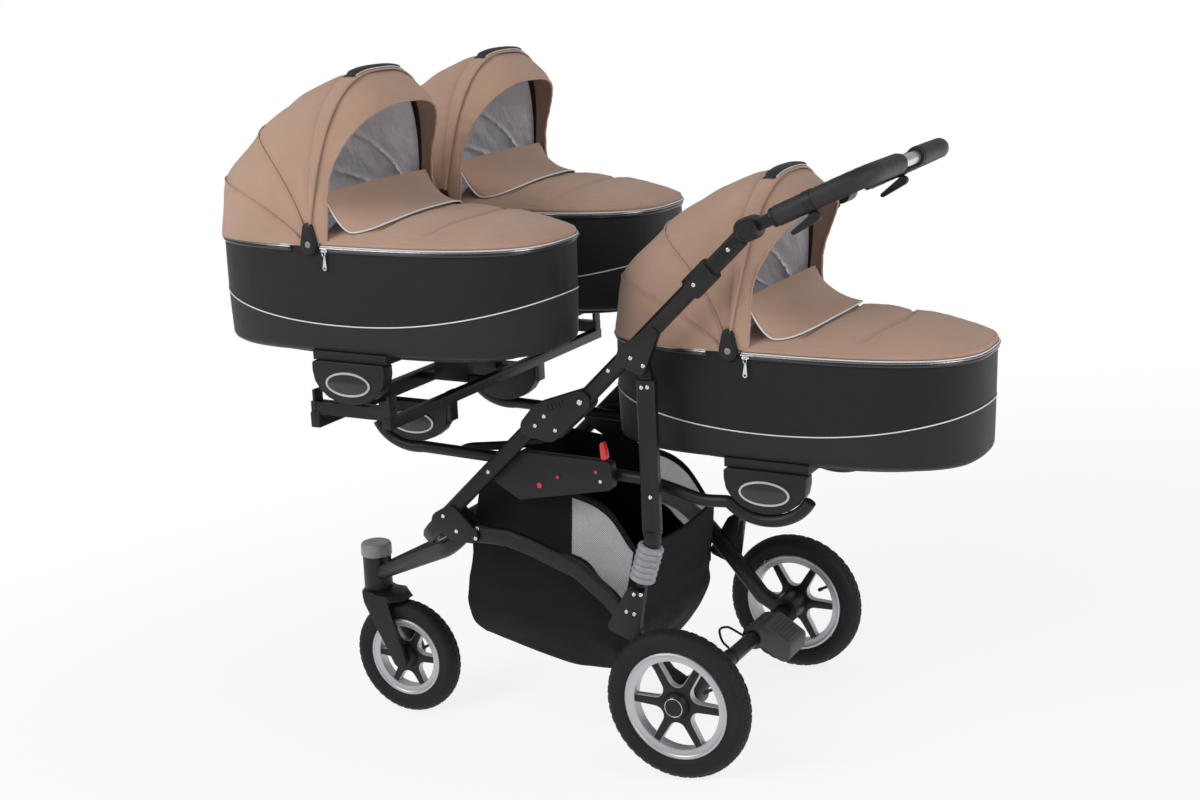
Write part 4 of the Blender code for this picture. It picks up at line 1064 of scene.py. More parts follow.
def rimLine(start, end, count, out, z):
    # round the rim from one turn to another, anticlockwise seen from above
    line = []
    for k in range(count + 1):
        t = start + (end - start) * k / count
        x, y = oval(cot["width"] / 2 + out, cot["length"] / 2 + out, t)
        line.append(Vector((x, y, z)))
    return line


def rimShare(x, y, slimmer=0.0):
    # 1 on the rim's outline and less inside it
    across = (abs(x) / (cot["width"] / 2 - slimmer)) ** cot["squareness"]
    return across + (abs(y) / (cot["length"] / 2 - slimmer)) ** cot["squareness"]


def rimTurn(y):
    # the turn at which the left side of the rim is that far back
    half = cot["length"] / 2
    return math.copysign(math.asin((abs(y) / half) ** (cot["squareness"] / 2)), y)


apron = {
    "start": -0.030,
    "edge": 0.012,
    "crown": 0.055,
    "thickness": 0.009,
    "slimmer": 0.002,
    "inset": 0.001,
    # the least height of its underside over the rim
    "least": 0.0012,
    "around": 64,
    "across": 32,
    "shares": (0.0, 0.2, 0.4, 0.6, 0.75, 0.86, 0.94, 0.985, 1.0),
    "voxel": 0.006,
    "pressure": 4.0,
    "cap": 0.007,
    "crownPower": 3.2,
    "sidePower": 2.6,
    "hornReach": 0.030,
    "bulge": 0.010,
    # each seam: how far back its middle lies, and how far forward its ends bend
    "seams": ((0.095, 0.055), (0.205, 0.060)),
    "seamDepth": 0.0056,
    "seamWidth": 0.0045,
    "pullWidth": 0.020,
    "seamSpan": 0.19,
    "seamEnd": 0.135,
    "seamFade": 0.03,
    # each wave: its height, how it is squeezed across, its size and its seed
    "waves": ((0.0016, 1.0, 0.055, 5.0), (0.0007, 1.6, 0.017, 9.0)),
}


def apronHeight(x, y):
    half = cot["length"] / 2
    power = cot["squareness"]
    side = cot["width"] / 2 * (1 - min(abs(y / half), 1.0) ** power) ** (1 / power)
    across = min(abs(x) / max(side, 1e-6), 1.0)
    along = min(max((y - apron["start"]) / (half - apron["start"]), 0.0), 1.0)
    crest = apron["edge"] + (apron["crown"] - apron["edge"]) * (1 - along ** apron["crownPower"])
    return apron["edge"] + (crest - apron["edge"]) * (1 - across ** apron["sidePower"])


def apronStart(x):
    # the apron reaches further towards the head at its sides, up to the hinges
    return apron["start"] - apron["hornReach"] * min(abs(x) / (cot["width"] / 2), 1.0) ** 6


def makeApronPad():
    # the closed pad that the simulation fills
    start = rimTurn(apronStart(cot["width"] / 2))
    outline = []
    inset = apron["inset"]
    for k in range(apron["around"] + 1):
        t = start + (math.pi - 2 * start) * k / apron["around"]
        outline.append(oval(cot["width"] / 2 - inset, cot["length"] / 2 - inset, t))
    low = outline[-1][0]
    high = outline[0][0]
    for k in range(1, apron["across"]):
        x = low + (high - low) * (1 - math.cos(math.pi * k / apron["across"])) / 2
        outline.append((x, apronStart(x)))
    layers = []
    shares = apron["shares"]
    for layer, drop in ((shares, apron["thickness"]), (shares[::-1], apron["slimmer"])):
        for share in layer:
            ring = []
            for x, y in outline:
                middle = min(max(y, apron["start"]), cot["length"] / 2 * 0.72)
                px = x * share
                py = middle + (y - middle) * share
                swell = math.sin(math.pi * min(share, 1.0)) ** 2 if share > 0.5 else 0.0
                z = apronHeight(px, py) - drop + apron["bulge"] * swell * 0.6
                if share == 1.0 and y > apronStart(x) + 0.002:
                    z = 0.0015 if drop == apron["thickness"] else apron["edge"] * 0.72
                ring.append(Vector((px, py, max(z, apron["least"]))))
            layers.append(ring)
    bm = loft(bmesh.new(), layers, caps=False)
    bmesh.ops.remove_doubles(bm, verts=bm.verts, dist=1e-5)
    return bm


padCloth = {"quality": 5, "mass": 0.25, "stiffness": 25, "bending": 1.5, "frames": 20}


def inflate(obj, sizes, pinned):
    # the pad is remeshed and filled by pressure, held where pinned(point)
    remesh = obj.modifiers.new("remesh", "REMESH")
    remesh.mode = "VOXEL"
    remesh.voxel_size = sizes["voxel"]
    mesh = plainMesh(obj)
    obj.modifiers.clear()
    obj.data = mesh
    before = [v.co.copy() for v in mesh.vertices]
    group = obj.vertex_groups.new(name="held")
    for v in mesh.vertices:
        group.add([v.index], pinned(v.co), "REPLACE")
    change = obj.modifiers.new("cloth", "CLOTH")
    settings = change.settings
    settings.quality = padCloth["quality"]
    settings.mass = padCloth["mass"]
    settings.tension_stiffness = padCloth["stiffness"]
    settings.compression_stiffness = padCloth["stiffness"]
    settings.bending_stiffness = padCloth["bending"]
    settings.use_pressure = True
    settings.uniform_pressure_force = sizes["pressure"]
    settings.vertex_group_mass = "held"
    settings.effector_weights.gravity = 0.0
    change.point_cache.frame_start = 1
    change.point_cache.frame_end = padCloth["frames"]
    scene = bpy.context.scene
    for step in range(1, padCloth["frames"] + 1):
        scene.frame_set(step)
        bpy.context.evaluated_depsgraph_get()
    filled = plainMesh(obj)
    obj.modifiers.clear()
    obj.vertex_groups.clear()
    for v, start in zip(filled.vertices, before):
        move = v.co - start
        if move.length > sizes["cap"]:
            v.co = start + move.normalized() * sizes["cap"]
    obj.data = filled
    scene.frame_set(1)
    return obj


def subdivided(obj):
    change = obj.modifiers.new("finer", "SUBSURF")
    change.levels = 1
    change.render_levels = 1
    mesh = plainMesh(obj)
    obj.modifiers.clear()
    obj.data = mesh
    mesh.shade_smooth()
    return obj


def seamDip(x, y, top):
    # how far the quilting pulls the apron in at a point
    dip = 0.0
    for place, bend in apron["seams"]:
        away = abs(y - (place - bend * (x / apron["seamSpan"]) ** 2))
        reach = 1 - ease((abs(x) - apron["seamEnd"]) / apron["seamFade"])
        dip += apron["seamDepth"] * math.exp(-(away / apron["seamWidth"]) ** 2) * reach
        dip += apron["seamDepth"] * 0.5 * math.exp(-(away / apron["pullWidth"]) ** 2) * reach
    return dip if top else 0.0


def makeApron():
    made = piece("apronPad", makeApronPad(), "hood", place=upright)
    def held(point):
        sewn = rimShare(point.x, point.y) > 0.93 or point.y < apronStart(point.x) + 0.012
        return 1.0 if sewn else 0.0
    inflate(made, apron, held)
    subdivided(made)
    for v in made.data.vertices:
        x, y, z = v.co
        top = z > apronHeight(x, y) - apron["thickness"] * 0.6
        v.co.z -= seamDip(x, y, top)
        if top:
            v.co.z += sum(height * ripple((x * squeeze, y, 0), size, seed)
                          for height, squeeze, size, seed in apron["waves"])
        out = rimShare(x, y, 0.0016)
        if out > 1:
            v.co.x *= out ** (-1 / cot["squareness"])
            v.co.y *= out ** (-1 / cot["squareness"])
        v.co.z = max(v.co.z, apron["least"])
    return made


mattress = {
    "margin": 0.0384,
    "thickness": 0.030,
    "heldHeight": 0.004,
    "voxel": 0.007,
    "pressure": 4.0,
    "cap": 0.004,
    # (how far further in, share of the thickness) from the floor up
    "profile": ((0.008, 0.0), (0.003, 0.12), (0.003, 0.55), (0.008, 0.80), (0.022, 0.92),
                (0.060, 0.97)),
    "tuftPitch": 0.075,
    "tuftDepth": 0.0016,
}


def makeMattress():
    floorZ = -cot["cavityDepth"] + 0.001
    rings = []
    for inset, share in mattress["profile"]:
        margin = mattress["margin"] + inset
        z = floorZ + mattress["thickness"] * share
        rings.append([Vector((*oval(cot["width"] / 2 - margin, cot["length"] / 2 - margin, t), z))
                      for t in ringTurns(64)])
    made = piece("mattressStart", loft(bmesh.new(), rings), "lining", place=upright)
    held = floorZ + mattress["heldHeight"]
    inflate(made, mattress, lambda point: 1.0 if point.z < held else 0.0)
    for v in made.data.vertices:
        v.co.z = max(v.co.z, floorZ)
        pitch = mattress["tuftPitch"]
        tuft = math.cos(v.co.x * 2 * math.pi / pitch) * math.cos(v.co.y * 2 * math.pi / pitch)
        if v.co.z > floorZ + mattress["thickness"] * 0.6:
            v.co.z -= mattress["tuftDepth"] * max(0.0, tuft) ** 6
    made.data.shade_smooth()
    return made


flap = {
    "halfWidth": 0.178,
    "topY": -0.038,
    "topZ": 0.099,
    "length": 0.138,
    "cornerRise": 0.42,
    "cornerPower": 2.4,
    "narrowing": 0.04,
    "topBend": 0.006,
    "topDip": 0.004,
    "liftPower": 1.6,
    "wave": 0.0016,
    "clearance": 0.0012,
    "thickness": 0.0042,
    "pipingRadius": 0.0017,
    "pipingDrop": 0.0018,
    "pipingStep": 0.0025,
    "sideSteps": 16,
    "edgeSteps": 60,
    "columns": 44,
    "rows": 20,
}


def flapPoint(across, share):
    # across runs from -1 to 1, and share from the standing top down to the free edge
    curve = math.sqrt(1 - abs(across) ** flap["cornerPower"])
    side = flap["length"] * (flap["cornerRise"] + (1 - flap["cornerRise"]) * curve)
    x = flap["halfWidth"] * across * (1 - flap["narrowing"] * share)
    y = flap["topY"] - flap["topBend"] * across ** 2 + side * share
    floor = apronHeight(x, max(y, apron["start"]))
    top = flap["topZ"] - flap["topDip"] * across ** 2
    lift = (1 - share) ** flap["liftPower"]
    z = floor + flap["clearance"] + flap["thickness"] + (top - floor) * lift
    wave = flap["wave"] * ripple((x, share * 0.1, 0), 0.05, 12.0) * math.sin(math.pi * share)
    return Vector((x, y + flap["thickness"] * 0.6 * lift, z + wave))


def flapAcross(share):
    # close steps at both sides, where the edge curves up
    return 0.9999 * math.sin(math.pi * (share - 0.5))


def makeFlap():
    rows = []
    for j in range(flap["columns"] + 1):
        across = flapAcross(j / flap["columns"])
        rows.append([flapPoint(across, i / flap["rows"]) for i in range(flap["rows"] + 1)])
    # the underside takes the near-black cover finish, a painted shadow line under the piping
    return sheetShell(bmesh.new(), rows, -flap["thickness"] * 0.8, lambda i, k: (0, 1))


def makeFlapPiping():
    shares = [k / flap["sideSteps"] for k in range(1, flap["sideSteps"])]
    line = [flapPoint(-1, share) for share in shares]
    line += [flapPoint(flapAcross(k / flap["edgeSteps"]), 1) for k in range(flap["edgeSteps"] + 1)]
    line += [flapPoint(1, share) for share in shares[::-1]]
    line = [p - Vector((0, 0, flap["pipingDrop"])) for p in spaced(line, flap["pipingStep"])]
    return cord(bmesh.new(), line, flap["pipingRadius"], 8)


hood = {
    "profile": ((-0.370, 0.0), (-0.3475, 0.120), (-0.2665, 0.201), (-0.1945, 0.259),
                (-0.1415, 0.289), (-0.0725, 0.309), (-0.0100, 0.312), (0.0280, 0.294),
                (0.0500, 0.263)),
    # angles are in degrees up from the head end
    "sideAngle": 104.0,
    "topAngle": 114.0,
    "thickness": 0.0014,
    "liningGap": 0.0034,
    "bands": 60,
    "steps": 96,
    # each seam: its angle on top, and how much further it climbs at the sides
    "seams": ((22.0, 15.0), (49.0, 24.0)),
    "seamRadius": 0.0015,
    "seamOut": 0.0004,
    "seamFirst": 2.4,
    "seamSteps": 120,
    "seamRidge": 0.0024,
    "ridgeWidth": 0.42,
    "seamValley": 0.0016,
    "valleyWidth": 1.5,
    # the cloth sags between these angles by that much
    "sags": ((1.0, 22.0, 0.0030), (22.0, 49.0, 0.0040), (49.0, 92.0, 0.0050)),
    "waves": 0.0022,
    "bowGathers": 0.0011,
    "headGathers": 0.0009,
    "brimFrom": 99,
    "brimFolds": 0.0013,
    "brimTuck": 0.0055,
    "edgeRadius": 0.0026,
    "edgeUnder": 0.0012,
    "brimStart": 95.0,
    "brimDrop": 0.034,
    "brimDropHeight": 0.16,
    "firstTurn": 0.25,
    "liningTurn": 5.0,
    "liningFrom": 1.0,
    "liningTo": 96.0,
    "liningCrush": 0.0030,
    "liningFold": 0.0075,
}

# the front bow: its angle, its half width in metres, and heights over the cloth
bow = {
    "angle": 97.2,
    "half": 0.0185,
    "low": 0.0006,
    "height": 0.0068,
    "gather": 0.0006,
    "wave": 0.0008,
    "first": 2.8,
    "steps": 180,
    "handleHalf": 0.0125,
    "handleLow": 0.0030,
    "handleHeight": 0.0135,
    "handleHalfTurn": 17.0,
    "handleSteps": 48,
    "collarLow": 0.0010,
    # the collar at each end of the handle: (degrees further on, height)
    "collar": ((0, 0.0080), (0.4, 0.0096), (2.0, 0.0092), (2.6, 0.0074)),
    "edgeRadius": 0.0010,
    "edgeRise": 0.0012,
    "edgeSteps": 40,
    "innerHalf": 0.008,
    "innerLow": -0.0085,
    "innerHigh": -0.0055,
    "innerFirst": 6,
    "innerSteps": 90,
}


def hoodRadius(angle):
    stops = [(0.0, cot["length"] / 2 - cot["hingeBack"])]
    for y, z in hood["profile"][1:]:
        back = y + cot["hingeBack"]
        stops.append((math.degrees(math.atan2(z, -back)), math.hypot(z, back)))
    for (a0, r0), (a1, r1) in zip(stops, stops[1:]):
        if angle <= a1:
            share = (angle - a0) / (a1 - a0)
            return r0 + (r1 - r0) * (0.5 * share + 0.5 * ease(share))
    return stops[-1][1]


def hoodPoint(angle, t, out=0.0):
    # angle in degrees up from the head end, t from the left hinge to the right one
    x, reach = oval(cot["width"] / 2 + out, hoodRadius(angle) + out, t)
    turn = math.radians(angle)
    return Vector((x, -cot["hingeBack"] - reach * math.cos(turn), 0.0003 + reach * math.sin(turn)))


def hoodEnd(t):
    return hood["sideAngle"] + (hood["topAngle"] - hood["sideAngle"]) * math.sin(t) ** 0.9


def brimReach(angle, t):
    # how far forward the brim's lower ends hang in front of the lugs
    start = hood["brimStart"]
    along = ease((angle - start) / (hood["sideAngle"] - start))
    height = hoodPoint(angle, t).z
    return hood["brimDrop"] * along * (1 - ease(height / hood["brimDropHeight"]))


def seamAngle(seam, t):
    top, bend = hood["seams"][seam]
    return top + bend * (1 - math.sin(t)) ** 1.2


def hoodRise(angle, t):
    # how far the cloth stands out of its smooth form: sag between the bows, piped seams and gathers
    rise = 0.0
    reach = hoodRadius(angle) / 0.3
    for seam in (0, 1):
        away = (angle - seamAngle(seam, t)) * reach
        rise += hood["seamRidge"] * math.exp(-(away / hood["ridgeWidth"]) ** 2)
        rise -= hood["seamValley"] * math.exp(-(away / hood["valleyWidth"]) ** 2)
    middle = math.sin(t)
    for low, high, sag in hood["sags"]:
        if low < angle < high:
            rise -= sag * math.sin(math.pi * (angle - low) / (high - low)) ** 1.5 * middle
    x = math.cos(t)
    rise += hood["waves"] * ripple((angle / 40, x, t), 0.42, 2.0)
    near = math.exp(-((angle - 90.0) / 5.0) ** 2)
    rise += hood["bowGathers"] * near * math.sin(70 * t + 3 * ripple((t, 0, 0), 0.3, 4.0))
    if angle > hood["brimFrom"]:
        brim = min((angle - hood["brimFrom"]) / 8, 1.0)
        folds = math.sin(46 * t + 2.5 * ripple((t, angle / 30, 0), 0.25, 6.0))
        rise += hood["brimFolds"] * brim * folds * (1.25 - middle)
        rise -= hood["brimTuck"] * brim ** 2
    head = math.exp(-(angle / 3.0) ** 2)
    rise += hood["headGathers"] * head * math.sin(120 * t)
    return rise


def brimmed(angle, t, out):
    return hoodPoint(angle, t, hoodRise(angle, t) + out) + Vector((0, brimReach(angle, t), 0))


def hoodTurns(firstTurn):
    turn = math.radians(firstTurn)
    return [turn + (math.pi - 2 * turn) * k / hood["steps"] for k in range(hood["steps"] + 1)]


def bowTurns(first, steps):
    # even turns over the bow, from that many degrees past one hinge to as many before the other
    return [math.radians(first + (180 - 2 * first) * k / steps) for k in range(steps + 1)]


def hoodRows(under, first, last, firstTurn):
    # last(t) is the angle at which the cloth ends
    turns = hoodTurns(firstTurn)
    return [[brimmed(first + (last(t) - first) * i / hood["bands"], t, -under) for t in turns]
            for i in range(hood["bands"] + 1)]


def makeHood():
    bm = sheetShell(bmesh.new(), hoodRows(0.0, 0.0, hoodEnd, hood["firstTurn"]), -hood["thickness"])
    edge = [brimmed(hoodEnd(t), t, -hood["edgeUnder"]) for t in hoodTurns(hood["firstTurn"])]
    return cord(bm, edge, hood["edgeRadius"], 10, (0, 1, 0))


def makeHoodSeams():
    # a cord of the same cloth in each seam
    bm = bmesh.new()
    for seam in (0, 1):
        line = []
        for t in bowTurns(hood["seamFirst"], hood["seamSteps"]):
            angle = seamAngle(seam, t)
            line.append(hoodPoint(angle, t, hoodRise(angle, t) + hood["seamOut"]))
        cord(bm, line, hood["seamRadius"], 8, (0, 0.3, 1))
    return bm


def makeLiningSheet():
    # the lining, crushed, and folded in at the seams
    first = hood["liningFrom"]
    rows = hoodRows(hood["liningGap"], first, lambda t: hood["liningTo"], hood["liningTurn"])
    turns = hoodTurns(hood["liningTurn"])
    for i, line in enumerate(rows):
        angle = first + (hood["liningTo"] - first) * i / hood["bands"]
        for k, (t, point) in enumerate(zip(turns, line)):
            crush = hood["liningCrush"] * ripple((angle / 60, math.cos(t), t), 0.16, 8.0)
            inward = Vector((0, -cot["hingeBack"], 0.05)) - point
            fold = 0.0
            for seam in (0, 1):
                away = angle - seamAngle(seam, t)
                share = 1 if away > 0 else 0.35
                fold += hood["liningFold"] * math.exp(-(away / 0.8) ** 2) * share
            line[k] = point + inward.normalized() * (max(crush, -0.001) + fold)
    return sheetShell(bmesh.new(), rows, hood["thickness"] * 0.7)


def bowHalf(width):
    # half a width on the bow, in degrees
    return math.degrees(width / hoodRadius(bow["angle"]))


def bowRing(t, half, low, high, power):
    # a section of the bow: half its width in degrees, and its low and high sides above the hood
    ring = []
    for k in range(16):
        a = 2 * math.pi * k / 16
        c, s = math.cos(a), math.sin(a)
        wide = math.copysign(abs(c) ** power, c)
        tall = math.copysign(abs(s) ** power, s)
        ring.append(hoodPoint(bow["angle"] + half * wide, t,
                              (low + high) / 2 + (high - low) / 2 * tall))
    return ring


def makeBowBand():
    # the cloth sleeve over the bow, gathered along its length
    half = bowHalf(bow["half"])
    rings = []
    steps = bow["steps"]
    for k, t in enumerate(bowTurns(bow["first"], steps)):
        gather = bow["gather"] * math.sin(150 * t) + bow["wave"] * ripple((t, 0, 0), 0.12, 1.0)
        ends = ease((k + 2) / 10) * ease((steps + 2 - k) / 10)
        wide = half * (0.75 + 0.25 * ends) + gather * 90
        rings.append(bowRing(t, wide, bow["low"], bow["height"] + gather, 0.8))
    return loft(bmesh.new(), rings)


def makeCarryHandle():
    bm = bmesh.new()
    half = bowHalf(bow["handleHalf"])
    rings = []
    steps = bow["handleSteps"]
    for k in range(steps + 1):
        t = math.radians(90 + bow["handleHalfTurn"] * (2 * k / steps - 1))
        ends = ease((k + 1) / 7) * ease((steps + 1 - k) / 7)
        high = bow["height"] + (bow["handleHeight"] - bow["height"]) * ends
        rings.append(bowRing(t, half * (0.80 + 0.20 * ends), bow["handleLow"], high, 0.6))
    loft(bm, rings)
    for end in (-1, 1):
        t0 = 90 + end * (bow["handleHalfTurn"] - 1.5)
        loft(bm, [bowRing(math.radians(t0 + end * step), half * 1.06, bow["collarLow"], high, 0.6)
                  for step, high in bow["collar"]])
    return bm


def makeHandleEdges():
    bm = bmesh.new()
    half = bowHalf(bow["handleHalf"])
    steps = bow["edgeSteps"]
    for side in (-1, 1):
        line = []
        for k in range(steps + 1):
            t = math.radians(90 + (bow["handleHalfTurn"] - 1) * (2 * k / steps - 1))
            ends = ease((k + 1) / 6) * ease((steps + 1 - k) / 6)
            high = bow["height"] + bow["edgeRise"] * ends
            line.append(hoodPoint(bow["angle"] + side * half * 0.98, t, high))
        cord(bm, line, bow["edgeRadius"], 8, (0, 1, 0))
    return bm


def makeInnerBow():
    half = bowHalf(bow["innerHalf"])
    rings = [bowRing(t, half, bow["innerLow"], bow["innerHigh"], 0.5)
             for t in bowTurns(bow["innerFirst"], bow["innerSteps"])]
    return loft(bmesh.new(), rings)


# the D-shaped hinge at each end of the bow: discs as (height, radius)
lug = {
    "outline": ((0.004, 0.0188), (0.034, 0.0116)),
    "gap": 0.0003,
    "thickness": 0.0066,
    "face": ((0.004, 0.0150), (0.032, 0.0085)),
    "faceFrom": 0.005,
    "faceHeight": 0.0078,
    "pinOut": 0.0070,
    "pinHeight": 0.004,
    # (radius, height) of the pin's head
    "pin": ((0.0062, 0.0), (0.0062, 0.0012), (0.0048, 0.0022), (0.0018, 0.0022), (0.0014, 0.0012)),
}


def makeLugs():
    bm = bmesh.new()
    y = -cot["hingeBack"]
    for side in (1, -1):
        x = side * (cot["width"] / 2 + lug["gap"])
        outline, face = [hull([(y, z, radius) for z, radius in lug[name]])
                         for name in ("outline", "face")]
        plate(bm, [outline], x, x + side * lug["thickness"], 0.0016)
        plate(bm, [face], x + side * lug["faceFrom"], x + side * lug["faceHeight"], 0.0008)
    return bm


def makeLugPins():
    bm = bmesh.new()
    for side in (1, -1):
        part = turned(bmesh.new(), lug["pin"], 20)
        x = side * (cot["width"] / 2 + lug["pinOut"])
        place = Matrix.Translation((x, -cot["hingeBack"], lug["pinHeight"]))
        place = place @ Matrix.Rotation(0 if side > 0 else math.pi, 4, "Z")
        bmesh.ops.transform(part, matrix=place, verts=part.verts)
        joinInto(bm, part)
    return bm


# the zip's sliders: forward of the hinge; discs as (forward, height, radius), and spans outward
puller = {
    "forward": 0.034,
    "slider": ((-0.003, -0.0062, 0.0042), (0.005, -0.0062, 0.0030)),
    "sliderSpan": (0.0032, 0.0068),
    "ringHalf": (0.0034, 0.0046),
    "ringPlace": (0.0074, -0.0125),
    "ringRadius": 0.0008,
    "tab": ((0.0, -0.0180, 0.0022), (-0.001, -0.0400, 0.0048)),
    "tabSpan": (0.0042, 0.0060),
    "holeRadius": 0.0022,
}


def makePullers():
    # a slider each side, just in front of the hinge, with its puller hanging on the cover
    bm = bmesh.new()
    y = -cot["hingeBack"] + puller["forward"]
    x = cot["width"] / 2 - 0.0012
    slider, tab = [[(y + forward, z, radius) for forward, z, radius in puller[name]]
                   for name in ("slider", "tab")]
    wide, tall = puller["ringHalf"]
    out, ringZ = puller["ringPlace"]
    holeY, holeZ = tab[1][:2]
    hole = [(holeY + a, holeZ + b) for a, b in circle(puller["holeRadius"], 14)]
    for side in (1, -1):
        plate(bm, [hull(slider, 16)], *(side * (x + span) for span in puller["sliderSpan"]), 0.0006)
        ring = [(side * (x + out), y + wide * a, ringZ + tall * b) for a, b in circle(1.0, 16)]
        cord(bm, ring, puller["ringRadius"], 6, (1, 0, 0), closed=True)
        plate(bm, [hull(tab, 20), hole], *(side * (x + span) for span in puller["tabSpan"]), 0.0005)
    return bm


def makeCotMasters():
    # name: object, which body it rides on, what it stands for, slot
    front = rimTurn(-cot["hingeBack"] + edging["gapInFront"])
    back = rimTurn(-cot["hingeBack"] - edging["gapBehind"])
    foot = (front, math.pi - front)
    head = (math.pi - back, 2 * math.pi + back)
    masters = {}

    def add(name, kinds, shape, body="cot", nodes=(), slot="hood_cloth", sharp=None):
        # without kinds the shape is a finished object
        if kinds:
            shape = piece(name, shape, *kinds.split(), place=upright, sharp=sharp)
        masters[name] = (shape, body, nodes, slot)

    def rimCords(name, sides):
        bm = bmesh.new()
        for span in (foot, head):
            line = rimLine(*span, 120, edging[f"{name}Out"], edging[f"{name}Height"])
            cord(bm, line, edging[f"{name}Radius"], sides)
        return bm

    add("cover", "cover lowerCover lining", makeTub(), nodes=("tub",), slot="cover", sharp=60)
    add("base", "plastic", makeTubBase(), slot="plastic", sharp=40)
    seam = [tubPoint(t, pipingAt(t), 0.0006) for t in ringTurns(160)]
    seam = cord(bmesh.new(), seam, cot["pipingRadius"], 8, closed=True)
    add("cover_piping", "piping", seam, slot="lining")
    add("rim_roll", "gloss", rimCords("roll", 12), slot="cover")
    add("rim_piping", "piping", rimCords("piping", 8), slot="lining")
    tooth = partObject(bar(*edging["tooth"]))
    lines = [(rimLine(*span, 160, edging["toothOut"], edging["toothHeight"]), False)
             for span in (foot, head)]
    teeth = barsAlong("teeth", lines, tooth, edging["toothPitch"], "steel")
    add("zip_teeth", None, teeth, slot="rim")
    bpy.data.objects.remove(tooth)
    add("zip_pullers", "steel", makePullers(), slot="rim", sharp=40)
    add("padded_mattress", None, makeMattress(), nodes=("mattress",), slot="lining")
    add("padded_apron", None, makeApron(), nodes=("apron",))
    edge = [p + Vector((0, 0, edging["padWave"] * ripple(p, 0.03, 2.0)))
            for p in rimLine(*foot, 200, edging["padOut"], edging["padHeight"])]
    add("apron_edge", "hood", cord(bmesh.new(), edge, edging["padRadius"], 14))
    # the flap's second finish, the near-black cover on its underside, is a painted shadow line
    # under the piping
    add("flap_cloth", "hood cover", makeFlap(), nodes=("wind_flap",), sharp=70)
    add("flap_piping", "piping", makeFlapPiping(), slot="lining")
    add("hood_cloth", "hood", makeHood(), "hood", ("hood",), sharp=70)
    add("hood_seams", "hood", makeHoodSeams(), "hood")
    add("hood_lining", "lining", makeLiningSheet(), "hood", slot="lining", sharp=70)
    add("bow_sleeve", "hood", makeBowBand(), "bow", ("bow",))
    add("carry_handle", "leather", makeCarryHandle(), "bow", slot="leather", sharp=50)
    add("handle_edges", "piping", makeHandleEdges(), "bow", slot="lining")
    add("inner_bow", "plastic", makeInnerBow(), "bow", slot="plastic")
    add("hinge_lugs", "plastic", makeLugs(), "bow", slot="plastic", sharp=40)
    add("hinge_pins", "grey", makeLugPins(), "bow", slot="plastic", sharp=40)
    return masters


def placeCots(masters):
    for hand in cots:
        hinge = jointPlace(f"{hand}_hood_fold")
        place = chassis @ Matrix.Translation(hinge + Vector((0, cot["hingeBack"], 0)))
        for name, (master, body, nodes, slot) in masters.items():
            mesh = master.data.copy()
            mesh.transform(place)
            made = linked(f"{hand}_{name}", mesh)
            if nodes:
                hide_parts(*(f"{hand}_cot_{node}" for node in nodes))
            if body == "hood":
                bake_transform(made)
            else:
                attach(made, f"{hand}_cot" if body == "cot" else f"{hand}_cot_bow")
            name in ("padded_apron", "padded_mattress")
    for master, body, nodes, slot in masters.values():
        bpy.data.objects.remove(master)


placeCots(makeCotMasters())
print("carrycots: covers, aprons, flaps, hoods and bows")


# Chassis

# half the distance between the two sides, to the middle of their tubes
frameX = 0.235

# where the left one of each pair of receivers holds its cot
seats = {
    "rear_receiver": (0.180, 0.1385, 0.4447),
    "rail_receiver": (0.180, -0.638, 0.5117),
    "front_receiver": (0.4174, -0.619, 0.6467),
}

shells = {}
chassisBodies = {}


def coatChassis():
    # each piece's finish, body and softened edge
    pairs = (("hinge_plate", "plastic", "frame", 0.0018),
             ("push_arm", "coat", "push_frame", 0.0014), ("strut", "coat", "struts", 0.0012),
             ("rear_leg", "coat", "rear_legs", 0.0016), ("side_plate", "plastic", "rails", 0.0014),
             ("rear_receiver", "plastic", "rails", 0.0030),
             ("rail_receiver", "plastic", "rails", 0.0030),
             ("front_receiver", "plastic", "rails", 0.0030),
             ("handle_lever", "plastic", "handle_lever", 0.0022),
             ("fold_lever", "red", "fold_lever", 0.0020))
    for node, kind, body, edge in pairs:
        for hand in ("left", "right"):
            own = f"{hand}_{body}" if body.endswith("lever") else body
            chassisBodies[f"{hand}_{node}"] = (kind, own, edge)
    chassisBodies.update({
        "front_frame_tube": ("coat", "frame", 0.0030),
        "front_arm": ("plastic", "frame", 0.0020),
        "rear_axle": ("coat", "rear_legs", 0.0010),
        "extension_frame": ("coat", "rails", 0.0014),
        "front_fork": ("plastic", "front_fork", 0.0024),
        "brake_pedal": ("pedal", "brake_pedal", 0.0020),
    })
    for node, (kind, body, edge) in chassisBodies.items():
        mesh = frame["nodes"][node].data
        shells[node] = BVHTree.FromPolygons([v.co for v in mesh.vertices],
                                            [p.vertices for p in mesh.polygons])
        coated(node, kind, body, edge)


coatChassis()
print("chassis:", len(chassisBodies), "softened pieces")


def onChassis(y, z, hand):
    # where a ray from the side meets the chassis, and which body is there
    start = chassis @ Vector((hand * 0.60, y, z))
    aim = chassis.to_3x3() @ Vector((-hand, 0, 0))
    best = None
    for node, shell in shells.items():
        place, distance = shell.ray_cast(start, aim)[::3]
        if place and (best is None or distance < best[0]):
            best = (distance, level @ place, chassisBodies[node][1])
    return best and best[1:]


rivet = {
    "radius": 0.0043,
    "height": 0.0019,
    # shares of the radius and the height, from the foot over the crown into the dish
    "profile": ((1.0, -0.4), (1.0, 0.25), (0.93, 0.62), (0.75, 0.92), (0.5, 1.0), (0.34, 0.98),
                (0.28, 0.72), (0.1, 0.68)),
}


def rivetHead():
    # its top along Z, with a shallow dish where it was pressed
    rings = []
    for share, rise in rivet["profile"]:
        rings.append([(a, b, rivet["height"] * rise)
                      for a, b in circle(rivet["radius"] * share, 18)])
    return loft(bmesh.new(), rings)


